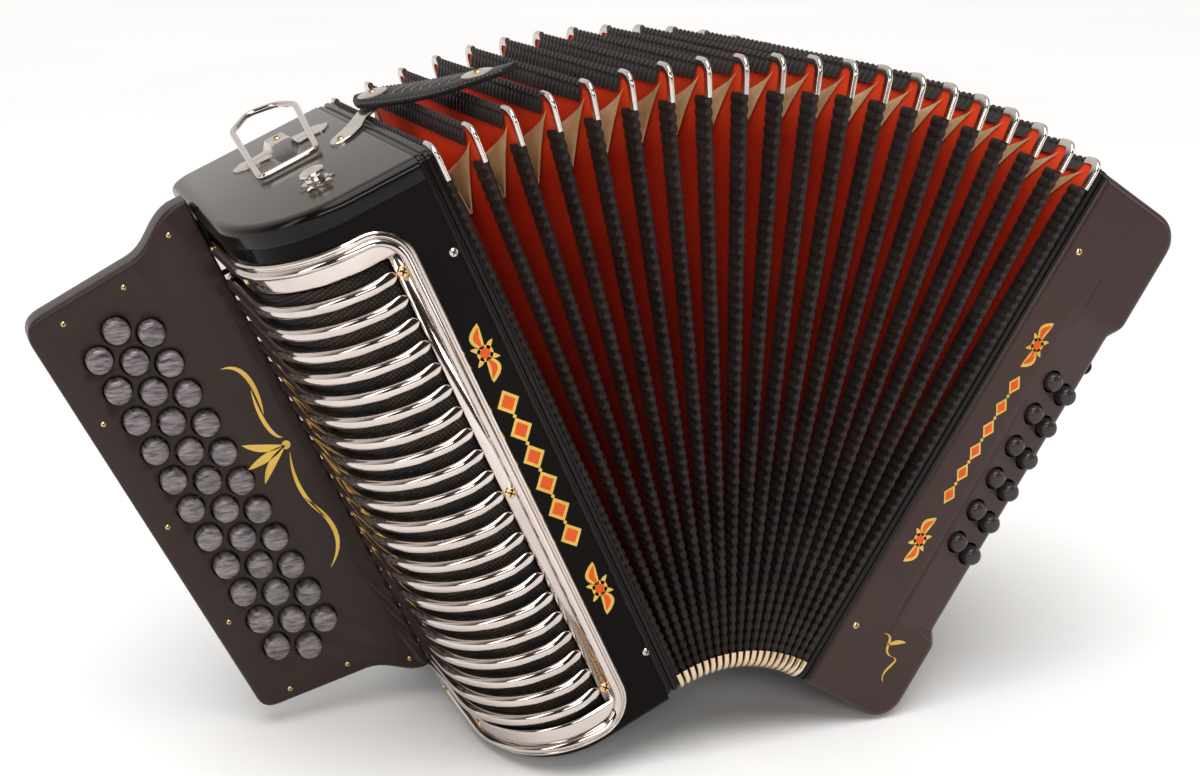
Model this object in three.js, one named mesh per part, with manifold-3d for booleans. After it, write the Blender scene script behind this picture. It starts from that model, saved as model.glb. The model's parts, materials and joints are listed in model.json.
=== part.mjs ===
// Three-row diatonic button accordion, standing opened as a fan. Millimetres, +Z up.
// X runs from the treble (melody) side to the bass side, Y from the front to the back.
// Each end of the instrument is modelled in its own frame, where x leads away from the
// bellows frame (negative on the treble side), y is depth from the front and z is height.

import * as THREE from 'three';
import { mergeVertices } from 'three/addons/utils/BufferGeometryUtils.js';
import Module from 'manifold-3d';

// Bellows fan
const FOLD_COUNT = 19;
const FAN_ANGLE = THREE.MathUtils.degToRad(57.1);
const APEX_RADIUS = 66.2;
const BELLOWS_HEIGHT = 300;
const BELLOWS_DEPTH = 172;
const FOLD_DEPTH = 24;
const PEAK_CORNER_CUT = 3;
const VALLEY_CORNER_CUT = 14;
const BELLOWS_WALL = 2;
const SECTION_ENDS = [0, 6, 13, 19];
const SECTION_GAP_ANGLE = 0.0023;

// Clearance between touching pieces
const PART_GAP = 0.4;

// Treble case
const FACE_GAP = 0.5;
const TREBLE_WIDTH = 92;
const CASE_BOTTOM = -4;
const CASE_TOP = 301;
const LID_THICKNESS = 11;
const LID_OVERHANG = 2;
const LID_EDGE_BEVEL = 3;
const WALL = 8;
const FRONT_CORNER = { across: 46, deep: 62 };
const BACK_CORNER_RADIUS = 8;
const WINDOW = { inner: -38, bottom: 12, top: 274, back: 106 };

// Treble grille
const GRILLE_GAP = 0.3;
const GRILLE_SHEET = 1.6;
const GRILLE_BEAD = 4;
const GRILLE_RIM = 6;
const GRILLE_INNER_EDGE = -31;
const GRILLE_BACK_EDGE = 112;
const GRILLE_BOTTOM = 2;
const GRILLE_TOP = 280;
const SLOT_MARGIN = 10.1;
const SLOT_COUNT = 22;
const SLOT_HEIGHT = 4.8;

// Fingerboard and its buttons
const BOARD_FRONT = 115;
const BOARD_THICKNESS = 16;
const BOARD_EDGE_BEVEL = 2;
const BUTTON_RADIUS = 6.3;
const BUTTON_HOLE_RADIUS = 7.2;
const BUTTON_LENGTH = 19;
const BUTTON_PROUD = 6;
const BUTTON_SIDES = 12;
const BUTTON_PITCH = 17.8;
const ROWS = [
  { name: 'outer', count: 11, x: -166.2, z: 254 },
  { name: 'middle', count: 12, x: -152.4, z: 262.9 },
  { name: 'inner', count: 11, x: -138.5, z: 254 },
];
const ROW_LEAN = 0.0327;

// Bass case
const BASS_WIDTH = 70;
const BASS_FRAME_WIDTH = 7;
const BASS_BOTTOM = -2;
const BASS_TOP = 299;
const BASS_CORNER_RADIUS = 12;
const BASS_FRONT_WALL = 16;
const BASS_EDGE_BEVEL = 4;
const SCOOP = { inner: 33, bottom: 44, top: 241, radius: 24, slope: THREE.MathUtils.degToRad(12) };
const BASS_BUTTON_ROWS = 6;
const BASS_BUTTON_PITCH = 19.3;
const BASS_BUTTON_TOP_Z = 196;
const BASS_BUTTON_COLUMNS = [
  { name: 'inner', x: 47.4, drop: 0 },
  { name: 'outer', x: 59.6, drop: 2.4 },
];
const BASS_BUTTON_RADIUS = 5;
const BASS_HOLE_RADIUS = 6.3;
const BASS_BUTTON_LENGTH = 18;
const BASS_BUTTON_PROUD = 1.5;
const BASS_HOLE_DEPTH = 23;
const AIR_BUTTON = { y: 32, z: 262, radius: 6, holeRadius: 7, length: 16, proud: 6 };

// Reed blocks
const TREBLE_SOUNDBOARD = { near: -34, far: -40 };
const BASS_SOUNDBOARD = { near: 34, far: 39 };
const TREBLE_REED_ROWS = { y: [34, 76, 118], depth: 20, x: -4, inset: 12 };
const BASS_REED_ROWS = { y: [46, 96], depth: 28, x: 4, inset: 14 };
const PALLET = { thickness: 5, narrower: 3, inset: 20 };
const REED_BLOCK_CLEARANCE = 3;

// Straps and fittings
const RING_WIRE = 3.2;
const RING_CORNER_STRETCH = 0.32;
const RING_AXIS = { y: 127, z: 305.7 };
const RING_TILT = THREE.MathUtils.degToRad(3.3);
const SADDLE = { left: -70.5, right: -11.5, width: 8, clearance: 8.5, thickness: 1.4, foot: 6 };
const STRAP = { x: 8, y: 110, z: 304.6, tail: 13, tip: 100, width: 22, thickness: 2.4 };
const STRAP_ANGLE = THREE.MathUtils.degToRad(-61.7);
const HAND_STRAP = {
  front: 60, back: 122, bottom: 36, top: 262, rise: 34, thickness: 3, lining: 4, foot: 18,
};
const FITTING_GAP = 0.3;
const RING_OUTLINE = [[-20, -43], [13, -43], [21, 27], [13, 40], [-4, 45], [-17, 30]];

const wasm = await Module();
wasm.setup();

function solid(geometry) {
  const bare = geometry.index ? geometry.toNonIndexed() : geometry.clone();
  bare.deleteAttribute('normal');
  bare.deleteAttribute('uv');
  const merged = mergeVertices(bare, 1e-4);
  return new wasm.Manifold(new wasm.Mesh({
    numProp: 3,
    vertProperties: new Float32Array(merged.attributes.position.array),
    triVerts: new Uint32Array(merged.index.array),
  }));
}

function geometryOf(body) {
  const mesh = body.getMesh();
  const geometry = new THREE.BufferGeometry();
  geometry.setAttribute('position', new THREE.BufferAttribute(mesh.vertProperties, 3));
  geometry.setIndex(new THREE.BufferAttribute(mesh.triVerts, 1));
  return geometry;
}

function cut(body, tools) {
  return tools.reduce((rest, tool) => rest.subtract(tool), body);
}

function join(bodies) {
  return bodies.reduce((whole, body) => whole.add(body));
}

function box(x0, x1, y0, y1, z0, z1) {
  const geometry = new THREE.BoxGeometry(x1 - x0, y1 - y0, z1 - z0);
  return solid(geometry.translate((x0 + x1) / 2, (y0 + y1) / 2, (z0 + z1) / 2));
}

// A plan drawn in x and y, raised from z0 to z1.
function raise(shape, z0, z1, bevel = 0, curveSegments = 8) {
  const geometry = new THREE.ExtrudeGeometry(shape, {
    depth: z1 - z0 - 2 * bevel,
    curveSegments,
    bevelEnabled: bevel > 0,
    bevelSize: bevel,
    bevelThickness: bevel,
    bevelOffset: -bevel,
    bevelSegments: 2,
  });
  return geometry.translate(0, 0, z0 + bevel);
}

// A front view drawn in x and z, pushed back from y0 to y1.
function pushBack(shape, y0, y1, bevel = 0, curveSegments = 8) {
  return raise(shape, 0, y1 - y0, bevel, curveSegments).rotateX(Math.PI / 2).translate(0, y1, 0);
}

function roundedRect(x0, x1, y0, y1, radius) {
  const shape = new THREE.Shape();
  shape.moveTo(x0 + radius, y0);
  shape.lineTo(x1 - radius, y0);
  shape.absarc(x1 - radius, y0 + radius, radius, -Math.PI / 2, 0);
  shape.lineTo(x1, y1 - radius);
  shape.absarc(x1 - radius, y1 - radius, radius, 0, Math.PI / 2);
  shape.lineTo(x0 + radius, y1);
  shape.absarc(x0 + radius, y1 - radius, radius, Math.PI / 2, Math.PI);
  shape.lineTo(x0, y0 + radius);
  shape.absarc(x0 + radius, y0 + radius, radius, Math.PI, 1.5 * Math.PI);
  return shape;
}

// A domed round button whose axis lies along y, its face towards the front.
function buttonGeometry(radius, length) {
  const profile = [
    new THREE.Vector2(0, 0),
    new THREE.Vector2(radius, 0),
    new THREE.Vector2(radius, length - 1.5),
    new THREE.Vector2(radius * 0.75, length - 0.4),
    new THREE.Vector2(0, length),
  ];
  const geometry = new THREE.LatheGeometry(profile, BUTTON_SIDES);
  return geometry.rotateX(Math.PI).translate(0, length, 0);
}

function bore(x, z, radius, y0, y1) {
  const geometry = new THREE.CylinderGeometry(radius, radius, y1 - y0, BUTTON_SIDES);
  return solid(geometry.translate(x, (y0 + y1) / 2, z));
}

function finish(color, roughness, metalness) {
  return new THREE.MeshStandardMaterial({ color, roughness, metalness });
}

function part(name, body, material) {
  const geometry = body.isBufferGeometry ? body : geometryOf(body);
  const mesh = new THREE.Mesh(geometry, material);
  mesh.name = name;
  return mesh;
}

// Plan of the treble body with its elliptical front corner, grown outwards by the given distance.
function treblePlan(grow, near = -FACE_GAP, back = BELLOWS_DEPTH) {
  const left = -TREBLE_WIDTH - grow;
  const front = -grow;
  const across = FRONT_CORNER.across + grow;
  const deep = FRONT_CORNER.deep + grow;
  const backCorner = BACK_CORNER_RADIUS;
  const shape = new THREE.Shape();
  shape.moveTo(near, front);
  shape.lineTo(near, back);
  shape.lineTo(left + backCorner, back);
  shape.absarc(left + backCorner, back - backCorner, backCorner, Math.PI / 2, Math.PI);
  shape.lineTo(left, front + deep);
  shape.absellipse(left + across, front + deep, across, deep, Math.PI, 1.5 * Math.PI);
  shape.lineTo(near, front);
  return shape;
}

function trebleCase(material) {
  const lidBottom = CASE_TOP - LID_THICKNESS;
  const body = solid(raise(treblePlan(0), CASE_BOTTOM, lidBottom + 1));
  const lid = solid(raise(treblePlan(LID_OVERHANG), lidBottom, CASE_TOP, LID_EDGE_BEVEL));
  const hollowPlan = treblePlan(-WALL, 1, BELLOWS_DEPTH - WALL);
  const hollow = solid(raise(hollowPlan, CASE_BOTTOM + WALL, lidBottom));
  const window = box(
    -TREBLE_WIDTH - 1, WINDOW.inner, -1, WINDOW.back, WINDOW.bottom, WINDOW.top,
  );
  return part('treble_case', cut(join([body, lid]), [hollow, window]), material);
}

// A strip that follows the front, the elliptical corner and the flank of the treble case.
function grilleStrip(inside, outside, from, to) {
  const { across, deep } = FRONT_CORNER;
  const centreX = -TREBLE_WIDTH + across;
  const quarter = (grow, start, end, clockwise) => shape.absellipse(
    centreX, deep, across + grow, deep + grow, start, end, clockwise,
  );
  const shape = new THREE.Shape();
  shape.moveTo(from, -outside);
  shape.lineTo(centreX, -outside);
  quarter(outside, 1.5 * Math.PI, Math.PI, true);
  shape.lineTo(-TREBLE_WIDTH - outside, to);
  shape.lineTo(-TREBLE_WIDTH - inside, to);
  shape.lineTo(-TREBLE_WIDTH - inside, deep);
  quarter(inside, Math.PI, 1.5 * Math.PI, false);
  shape.lineTo(from, -inside);
  return shape;
}

function trebleGrille(material) {
  const inside = GRILLE_GAP;
  const sheetPlan = grilleStrip(inside, inside + GRILLE_SHEET, GRILLE_INNER_EDGE, GRILLE_BACK_EDGE);
  const beadPlan = grilleStrip(inside, inside + GRILLE_BEAD, GRILLE_INNER_EDGE, GRILLE_BACK_EDGE);
  const slotPlan = grilleStrip(-2, 9, GRILLE_INNER_EDGE - 10, GRILLE_BACK_EDGE - 4);
  const sheet = solid(raise(sheetPlan, GRILLE_BOTTOM, GRILLE_TOP, 0, 5));
  const beads = [GRILLE_BOTTOM, GRILLE_TOP - GRILLE_RIM].map(
    (z) => solid(raise(beadPlan, z, z + GRILLE_RIM, 0, 5)),
  );
  const sideBead = box(
    GRILLE_INNER_EDGE - GRILLE_RIM, GRILLE_INNER_EDGE, -inside - GRILLE_BEAD, -inside,
    GRILLE_BOTTOM, GRILLE_TOP,
  );
  const pitch = (GRILLE_TOP - GRILLE_BOTTOM - 2 * SLOT_MARGIN) / SLOT_COUNT;
  const slots = [];
  for (let i = 0; i < SLOT_COUNT; i += 1) {
    const z = GRILLE_BOTTOM + SLOT_MARGIN + (i + 0.5) * pitch;
    slots.push(solid(raise(slotPlan, z - SLOT_HEIGHT / 2, z + SLOT_HEIGHT / 2, 0, 4)));
  }
  return part('treble_grille', cut(join([sheet, ...beads, sideBead]), slots), material);
}

// Front view of the fingerboard: straight outer edge, S-curved ends that meet the case.
function fingerboardShape() {
  const inner = -TREBLE_WIDTH - LID_OVERHANG - PART_GAP;
  const shape = new THREE.Shape();
  shape.moveTo(inner, 20);
  shape.lineTo(-99, 20);
  shape.bezierCurveTo(-110, 23, -113, 34, -126, 37);
  shape.lineTo(-174, 45.5);
  shape.quadraticCurveTo(-181.6, 47, -182, 54);
  shape.lineTo(-189.8, 274);
  shape.quadraticCurveTo(-189.6, 285, -179, 286);
  shape.lineTo(-131, 289);
  shape.bezierCurveTo(-119, 290, -115, 301, -102, 303);
  shape.lineTo(inner, 303);
  return shape;
}

function buttonPlaces() {
  return ROWS.flatMap((row) => Array.from({ length: row.count }, (_, i) => {
    const drop = i * BUTTON_PITCH;
    return { name: `treble_button_${row.name}_${i + 1}`, x: row.x + ROW_LEAN * drop, z: row.z - drop };
  }));
}

function fingerboard(material) {
  const back = BOARD_FRONT + BOARD_THICKNESS;
  const board = solid(pushBack(fingerboardShape(), BOARD_FRONT, back, BOARD_EDGE_BEVEL, 6));
  const holes = buttonPlaces().map(
    ({ x, z }) => bore(x, z, BUTTON_HOLE_RADIUS, BOARD_FRONT - 1, back + 1),
  );
  return part('treble_fingerboard', cut(board, holes), material);
}

function trebleButtons(material) {
  return buttonPlaces().map(({ name, x, z }) => {
    const button = part(name, buttonGeometry(BUTTON_RADIUS, BUTTON_LENGTH), material);
    button.position.set(x, BOARD_FRONT - BUTTON_PROUD, z);
    return button;
  });
}

function trebleReedBlock(material) {
  const { near, far } = TREBLE_SOUNDBOARD;
  const rows = TREBLE_REED_ROWS;
  const y0 = WALL + REED_BLOCK_CLEARANCE;
  const y1 = BELLOWS_DEPTH - WALL - REED_BLOCK_CLEARANCE;
  const z0 = CASE_BOTTOM + WALL + REED_BLOCK_CLEARANCE;
  const z1 = CASE_TOP - LID_THICKNESS - REED_BLOCK_CLEARANCE;
  const board = box(far, near, y0, y1, z0, z1);
  const blocks = rows.y.map(
    (y) => box(near - 1, rows.x, y, y + rows.depth, z0 + rows.inset, z1 - rows.inset),
  );
  const { thickness, narrower, inset } = PALLET;
  const pallets = rows.y.map((y) => box(
    far - thickness, far + 1, y + narrower, y + rows.depth - narrower, z0 + inset, z1 - inset,
  ));
  return part('treble_reed_block', join([board, ...blocks, ...pallets]), material);
}

function bassCase(material) {
  const front = roundedRect(BASS_FRAME_WIDTH, BASS_WIDTH, BASS_BOTTOM, BASS_TOP, BASS_CORNER_RADIUS);
  const squareSide = box(
    BASS_FRAME_WIDTH, BASS_FRAME_WIDTH + 2 * BASS_CORNER_RADIUS, BASS_EDGE_BEVEL,
    BELLOWS_DEPTH - BASS_EDGE_BEVEL, BASS_BOTTOM, BASS_TOP,
  );
  const body = solid(pushBack(front, 0, BELLOWS_DEPTH, BASS_EDGE_BEVEL, 5));
  const frame = box(FACE_GAP, BASS_FRAME_WIDTH + 6, 1, BELLOWS_DEPTH - 1, BASS_BOTTOM + 3, BASS_TOP - 1);
  const hollow = box(
    0, BASS_WIDTH - WALL, BASS_FRONT_WALL, BELLOWS_DEPTH - WALL, BASS_BOTTOM + WALL, BASS_TOP - WALL,
  );
  const holes = bassButtonPlaces().map(
    ({ x, z }) => bore(x, z, BASS_HOLE_RADIUS, -1, BASS_HOLE_DEPTH),
  );
  const shell = cut(join([body, squareSide, frame]), [hollow, scoop(), ...holes, airHole()]);
  return part('bass_case', shell, material);
}

function airHole() {
  const { y, z, holeRadius } = AIR_BUTTON;
  const geometry = new THREE.CylinderGeometry(holeRadius, holeRadius, 3 * WALL, BUTTON_SIDES);
  return solid(geometry.rotateZ(Math.PI / 2).translate(BASS_WIDTH, y, z));
}

// The front slopes back towards the outer edge, so that the fingers reach the buttons.
function scoop() {
  const width = BASS_WIDTH;
  const shape = roundedRect(0, width, SCOOP.bottom, SCOOP.top, SCOOP.radius);
  const tool = pushBack(shape, -20, 0);
  return solid(tool.rotateZ(SCOOP.slope).translate(SCOOP.inner, 0, 0));
}

function bassButtonPlaces() {
  return BASS_BUTTON_COLUMNS.flatMap((column) => Array.from({ length: BASS_BUTTON_ROWS }, (_, i) => ({
    name: `bass_button_${column.name}_${i + 1}`,
    x: column.x,
    z: BASS_BUTTON_TOP_Z - column.drop - i * BASS_BUTTON_PITCH,
  })));
}

function bassButtons(material) {
  return bassButtonPlaces().map(({ name, x, z }) => {
    const button = part(name, buttonGeometry(BASS_BUTTON_RADIUS, BASS_BUTTON_LENGTH), material);
    button.position.set(x, -BASS_BUTTON_PROUD, z);
    return button;
  });
}

function bassReedBlock(material) {
  const { near, far } = BASS_SOUNDBOARD;
  const rows = BASS_REED_ROWS;
  const z0 = BASS_BOTTOM + WALL + REED_BLOCK_CLEARANCE;
  const z1 = BASS_TOP - WALL - REED_BLOCK_CLEARANCE;
  const y0 = BASS_FRONT_WALL + REED_BLOCK_CLEARANCE;
  const y1 = BELLOWS_DEPTH - WALL - REED_BLOCK_CLEARANCE;
  const board = box(near, far, y0, y1, z0, z1);
  const blocks = rows.y.map(
    (y) => box(rows.x, near + 1, y, y + rows.depth, z0 + rows.inset, z1 - rows.inset),
  );
  return part('bass_reed_block', join([board, ...blocks]), material);
}

function airButton(material) {
  const geometry = buttonGeometry(AIR_BUTTON.radius, AIR_BUTTON.length);
  geometry.rotateZ(Math.PI / 2);
  const button = part('air_button', geometry, material);
  button.position.set(BASS_WIDTH + AIR_BUTTON.proud, AIR_BUTTON.y, AIR_BUTTON.z);
  return button;
}

// Eight points of one bellows ring: a rectangle with cut corners in the plane at the given angle.
function bellowsRing(angle, inset, cornerCut) {
  const y0 = inset;
  const y1 = BELLOWS_DEPTH - inset;
  const r0 = APEX_RADIUS + inset;
  const r1 = APEX_RADIUS + BELLOWS_HEIGHT - inset;
  const c = cornerCut;
  const corners = [
    [y0 + c, r0], [y1 - c, r0], [y1, r0 + c], [y1, r1 - c],
    [y1 - c, r1], [y0 + c, r1], [y0, r1 - c], [y0, r0 + c],
  ];
  return corners.map(([y, r]) => new THREE.Vector3(r * Math.sin(angle), y, r * Math.cos(angle)));
}

function quad(triangles, a, b, c, d) {
  triangles.push(a, b, c, a, c, d);
}

// A pleated tube, open at both ends, between two peaks of the bellows.
function bellowsSection(name, first, last, material) {
  const fold = FAN_ANGLE / FOLD_COUNT;
  const start = first === 0 ? 0 : SECTION_GAP_ANGLE;
  const end = last === FOLD_COUNT ? 0 : SECTION_GAP_ANGLE;
  const outer = [];
  const inner = [];
  for (let step = 2 * first; step <= 2 * last; step += 1) {
    const peak = step % 2 === 0;
    const trim = (step === 2 * first ? start : 0) - (step === 2 * last ? end : 0);
    const angle = -FAN_ANGLE / 2 + (step / 2) * fold + trim;
    const inset = peak ? 0 : FOLD_DEPTH;
    const cornerCut = peak ? PEAK_CORNER_CUT : VALLEY_CORNER_CUT;
    outer.push(bellowsRing(angle, inset, cornerCut));
    inner.push(bellowsRing(angle, inset + BELLOWS_WALL, cornerCut));
  }
  const triangles = [];
  for (let i = 0; i < 8; i += 1) {
    const j = (i + 1) % 8;
    for (let k = 0; k + 1 < outer.length; k += 1) {
      quad(triangles, outer[k][i], outer[k][j], outer[k + 1][j], outer[k + 1][i]);
      quad(triangles, inner[k][i], inner[k + 1][i], inner[k + 1][j], inner[k][j]);
    }
    const z = outer.length - 1;
    quad(triangles, outer[0][i], inner[0][i], inner[0][j], outer[0][j]);
    quad(triangles, outer[z][i], outer[z][j], inner[z][j], inner[z][i]);
  }
  const geometry = new THREE.BufferGeometry().setFromPoints(triangles);
  return part(name, solid(geometry), material);
}

// The ring's outline, moved away from its centre by the given distance.
function ringLoop(grow) {
  const points = RING_OUTLINE.map(([x, y]) => new THREE.Vector2(x, y));
  const centre = points.reduce((sum, point) => sum.add(point), new THREE.Vector2());
  centre.divideScalar(points.length);
  return points.map((point) => {
    const away = point.clone().sub(centre);
    return away.setLength(away.length() + grow).add(centre);
  });
}

// A wire loop, wider at its held end, that lies over the lid under its saddle.
function strapRing(material) {
  const half = RING_WIRE / 2;
  const shape = new THREE.Shape(ringLoop(half + RING_CORNER_STRETCH));
  shape.holes.push(new THREE.Path(ringLoop(-half - RING_CORNER_STRETCH)));
  const ring = part('strap_ring', solid(raise(shape, -half, half)), material);
  ring.position.set((SADDLE.left + SADDLE.right) / 2, RING_AXIS.y, RING_AXIS.z);
  ring.rotation.x = RING_TILT;
  return ring;
}

function ringSaddle(material) {
  const { left, right, clearance, thickness, foot } = SADDLE;
  const floor = CASE_TOP + FITTING_GAP;
  const shape = new THREE.Shape();
  shape.moveTo(left, floor);
  shape.lineTo(left + foot, floor);
  shape.lineTo(left + foot + 2, floor + clearance);
  shape.lineTo(right - foot - 2, floor + clearance);
  shape.lineTo(right - foot, floor);
  shape.lineTo(right, floor);
  shape.lineTo(right, floor + thickness);
  shape.lineTo(right - foot + 1, floor + thickness);
  shape.lineTo(right - foot - 1, floor + clearance + thickness);
  shape.lineTo(left + foot + 1, floor + clearance + thickness);
  shape.lineTo(left + foot - 1, floor + thickness);
  shape.lineTo(left, floor + thickness);
  const half = SADDLE.width / 2;
  return part('ring_saddle', solid(pushBack(shape, RING_AXIS.y - half, RING_AXIS.y + half)), material);
}

function bellowsStrap(material) {
  const { tail, tip, width, thickness } = STRAP;
  const shape = roundedRect(-tail, tip, -width / 2, width / 2, width / 2 - 0.5);
  const strap = part('bellows_strap', solid(raise(shape, 0, thickness, 0, 5)), material);
  strap.position.set(STRAP.x, STRAP.y, STRAP.z);
  strap.rotation.z = STRAP_ANGLE;
  return strap;
}

function handStrap(material) {
  const { front, back, bottom, top, rise, thickness, lining, foot } = HAND_STRAP;
  const face = BASS_WIDTH + FITTING_GAP;
  const outer = face + rise;
  const inner = outer - thickness;
  const low = bottom + 2 * foot;
  const high = top - 2 * foot;
  const shape = new THREE.Shape();
  shape.moveTo(face, bottom);
  shape.lineTo(face + thickness, bottom);
  shape.lineTo(face + thickness, bottom + foot);
  shape.bezierCurveTo(outer, low, outer, high, face + thickness, top - foot);
  shape.lineTo(face + thickness, top);
  shape.lineTo(face, top);
  shape.lineTo(face, top - foot);
  shape.bezierCurveTo(inner, high - lining, inner, low + lining, face, bottom + foot);
  shape.lineTo(face, bottom);
  return part('hand_strap', solid(pushBack(shape, front, back)), material);
}

function lowestPoint(group) {
  const lowest = new THREE.Vector3(0, 0, Infinity);
  const point = new THREE.Vector3();
  group.updateWorldMatrix(true, true);
  group.traverse((node) => {
    const positions = node.isMesh ? node.geometry.attributes.position : { count: 0 };
    for (let i = 0; i < positions.count; i += 1) {
      point.fromBufferAttribute(positions, i).applyMatrix4(node.matrixWorld);
      if (point.z < lowest.z) lowest.copy(point);
    }
  });
  return lowest;
}

// Turns the instrument about Y until both ends touch the same level, then sets it on z = 0.
function standLevel(instrument, treble, bass) {
  for (let round = 0; round < 4; round += 1) {
    const left = lowestPoint(treble);
    const right = lowestPoint(bass);
    instrument.rotation.y += Math.atan2(right.z - left.z, right.x - left.x);
  }
  instrument.updateMatrixWorld(true);
  const bounds = new THREE.Box3().setFromObject(instrument, true);
  const centre = bounds.getCenter(new THREE.Vector3());
  instrument.position.set(-centre.x, -centre.y, -bounds.min.z);
}

function end(angle, parts) {
  const group = new THREE.Group();
  group.rotation.y = angle;
  group.position.set(APEX_RADIUS * Math.sin(angle), 0, APEX_RADIUS * Math.cos(angle));
  group.add(...parts);
  return group;
}

const blackLacquer = finish(0x0a0808, 0.12, 0);
const satinBrown = finish(0x2b1f1d, 0.45, 0);
const chrome = finish(0xc9c6c2, 0.15, 1);
const pearl = finish(0x8c8c90, 0.25, 0);
const darkPlastic = finish(0x3a3436, 0.35, 0);
const beech = finish(0xb98d5a, 0.6, 0);
const bellowsCloth = finish(0x8f2a14, 0.75, 0);
const leather = finish(0x151313, 0.5, 0);

const treble = end(-FAN_ANGLE / 2, [
  trebleCase(blackLacquer),
  trebleGrille(chrome),
  fingerboard(satinBrown),
  trebleReedBlock(beech),
  ringSaddle(chrome),
  strapRing(chrome),
  bellowsStrap(leather),
  ...trebleButtons(pearl),
]);
const bass = end(FAN_ANGLE / 2, [
  bassCase(satinBrown),
  bassReedBlock(beech),
  airButton(chrome),
  handStrap(leather),
  ...bassButtons(darkPlastic),
]);
const bellows = new THREE.Group();
for (let i = 0; i + 1 < SECTION_ENDS.length; i += 1) {
  const name = `bellows_section_${i + 1}`;
  bellows.add(bellowsSection(name, SECTION_ENDS[i], SECTION_ENDS[i + 1], bellowsCloth));
}

const instrument = new THREE.Group();
instrument.add(treble, bellows, bass);
standLevel(instrument, treble, bass);

export default instrument;
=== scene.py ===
"""Three-row button accordion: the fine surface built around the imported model.

Places are worked out in the frames of the two ends. In an end's frame, in millimetres, x leads
away from the bellows plane (negative on the treble side), y is depth from the front, z is height.
"""
import json
import math

import bmesh
import bpy
from mathutils import Matrix, Vector
from mathutils.geometry import tessellate_polygon


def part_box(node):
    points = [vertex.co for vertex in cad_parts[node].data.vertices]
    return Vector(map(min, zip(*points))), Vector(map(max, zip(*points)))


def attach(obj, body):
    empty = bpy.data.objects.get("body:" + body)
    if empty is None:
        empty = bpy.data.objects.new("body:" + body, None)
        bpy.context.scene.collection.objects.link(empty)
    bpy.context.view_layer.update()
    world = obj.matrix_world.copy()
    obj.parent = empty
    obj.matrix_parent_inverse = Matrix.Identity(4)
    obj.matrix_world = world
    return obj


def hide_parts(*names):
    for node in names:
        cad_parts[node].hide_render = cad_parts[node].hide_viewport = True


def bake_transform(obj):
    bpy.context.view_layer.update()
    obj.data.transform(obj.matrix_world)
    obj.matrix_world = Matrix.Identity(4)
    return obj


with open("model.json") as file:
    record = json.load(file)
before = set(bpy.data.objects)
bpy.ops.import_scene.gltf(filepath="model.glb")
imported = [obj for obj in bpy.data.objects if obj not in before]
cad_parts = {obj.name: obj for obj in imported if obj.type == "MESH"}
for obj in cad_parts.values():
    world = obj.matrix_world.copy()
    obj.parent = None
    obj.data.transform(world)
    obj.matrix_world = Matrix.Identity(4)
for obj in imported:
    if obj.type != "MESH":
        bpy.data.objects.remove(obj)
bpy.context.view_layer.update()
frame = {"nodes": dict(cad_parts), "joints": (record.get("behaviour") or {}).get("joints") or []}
MM = 0.001

# Bellows
FOLDS = 19
APEX_RADIUS = 66.2
HEIGHT = 300.0
DEPTH = 172.0
FOLD_DEPTH = 24.0
GUSSET_CUT = 26.0
LEAF_CUT = 17.0
RIDGE_CORNER = 5.0
OUTER_RADIUS = APEX_RADIUS + HEIGHT
FOLD_SAG = 0.5
LEAF_REACH = 0.84
SECTION_ENDS = (0, 6, 13, 19)
BELLOWS_BODIES = ("treble", "bellows_a", "bellows_b", "bass")
TAPE_WIDTH = 7.6
TAPE_PITCH = 5.1
RIB_HEIGHT = 1.0
CAP_FRONT = 15.0
CAP_FRONT_LOW = 8.5
CAP_TOP = 8.0
CAP_LIFT = 0.9
CAP_HALF = 1.45
CAP_WALL = 2.6

# Treble end
CASE_LEFT = -92.0
CASE_BOTTOM = -4.0
CASE_TOP = 301.0
LID_BOTTOM = 290.0
LID_OVERHANG = 2.0
LID_BACK = 4.0
FRAME_WIDTH = 9.0
CORNER_ACROSS = 46.0
CORNER_DEEP = 62.0
BACK_CORNER = 8.0
WINDOW_INNER = -38.0
WINDOW_BACK = 106.0
WINDOW_BOTTOM = 12.0
WINDOW_TOP = 274.0
GRILLE_EDGE = -31.0
GRILLE_BOTTOM = 2.0
GRILLE_TOP = 280.0
GRILLE_END_Y = 112.0
SLOTS = 22
SLOT_MARGIN = 10.1
SLOT_SHARE = 0.42
SLOT_PITCH = (GRILLE_TOP - GRILLE_BOTTOM - 2 * SLOT_MARGIN) / SLOTS
LOUVER_RISE = 4.2
FLANGE = 7.5
RIM_CORNER = 15.0
GRILLE_RECESS = 12.0
FRONT_RUN = GRILLE_EDGE - (CASE_LEFT + CORNER_ACROSS)
ARC_RUN = 86.0
GRILLE_RUN = FRONT_RUN + ARC_RUN + GRILLE_END_Y - CORNER_DEEP
BOARD_FRONT = 115.0
BOARD_THICK = 16.0
BOARD_SCREWS = ((-109.3, 291.8), (-139.4, 279.6), (-172, 277.5), (-179.2, 224.9), (-177.4, 162.4),
                (-174.9, 101), (-165.1, 50.4), (-133.3, 45.7), (-103.4, 29.6))
HOLE_SIDES = 28

# Bass end
BASS_WIDTH = 70.0
BASS_BOTTOM = -2.0
BASS_TOP = 299.0
BASS_CORNER = 15.0
BASS_FRONT_EDGE = 5.0
BASS_BACK_EDGE = 4.0
SCOOP_START = 33.0
SCOOP_BOTTOM = 44.0
SCOOP_TOP = 241.0
SCOOP_SLOPE = math.tan(math.radians(12))

# Straps and ring
STRAP_ANGLE = math.radians(-61.7)
STRAP_TAIL = -13.0
STRAP_TIP = 100.0
STRAP_THICK = 3.0
HAND_STRAP_Y = 91.0
RING_X = -41.0
RING_Y = 127.0
RING_HEIGHT = 308.2
RING_TILT = math.radians(6.5)

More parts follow.
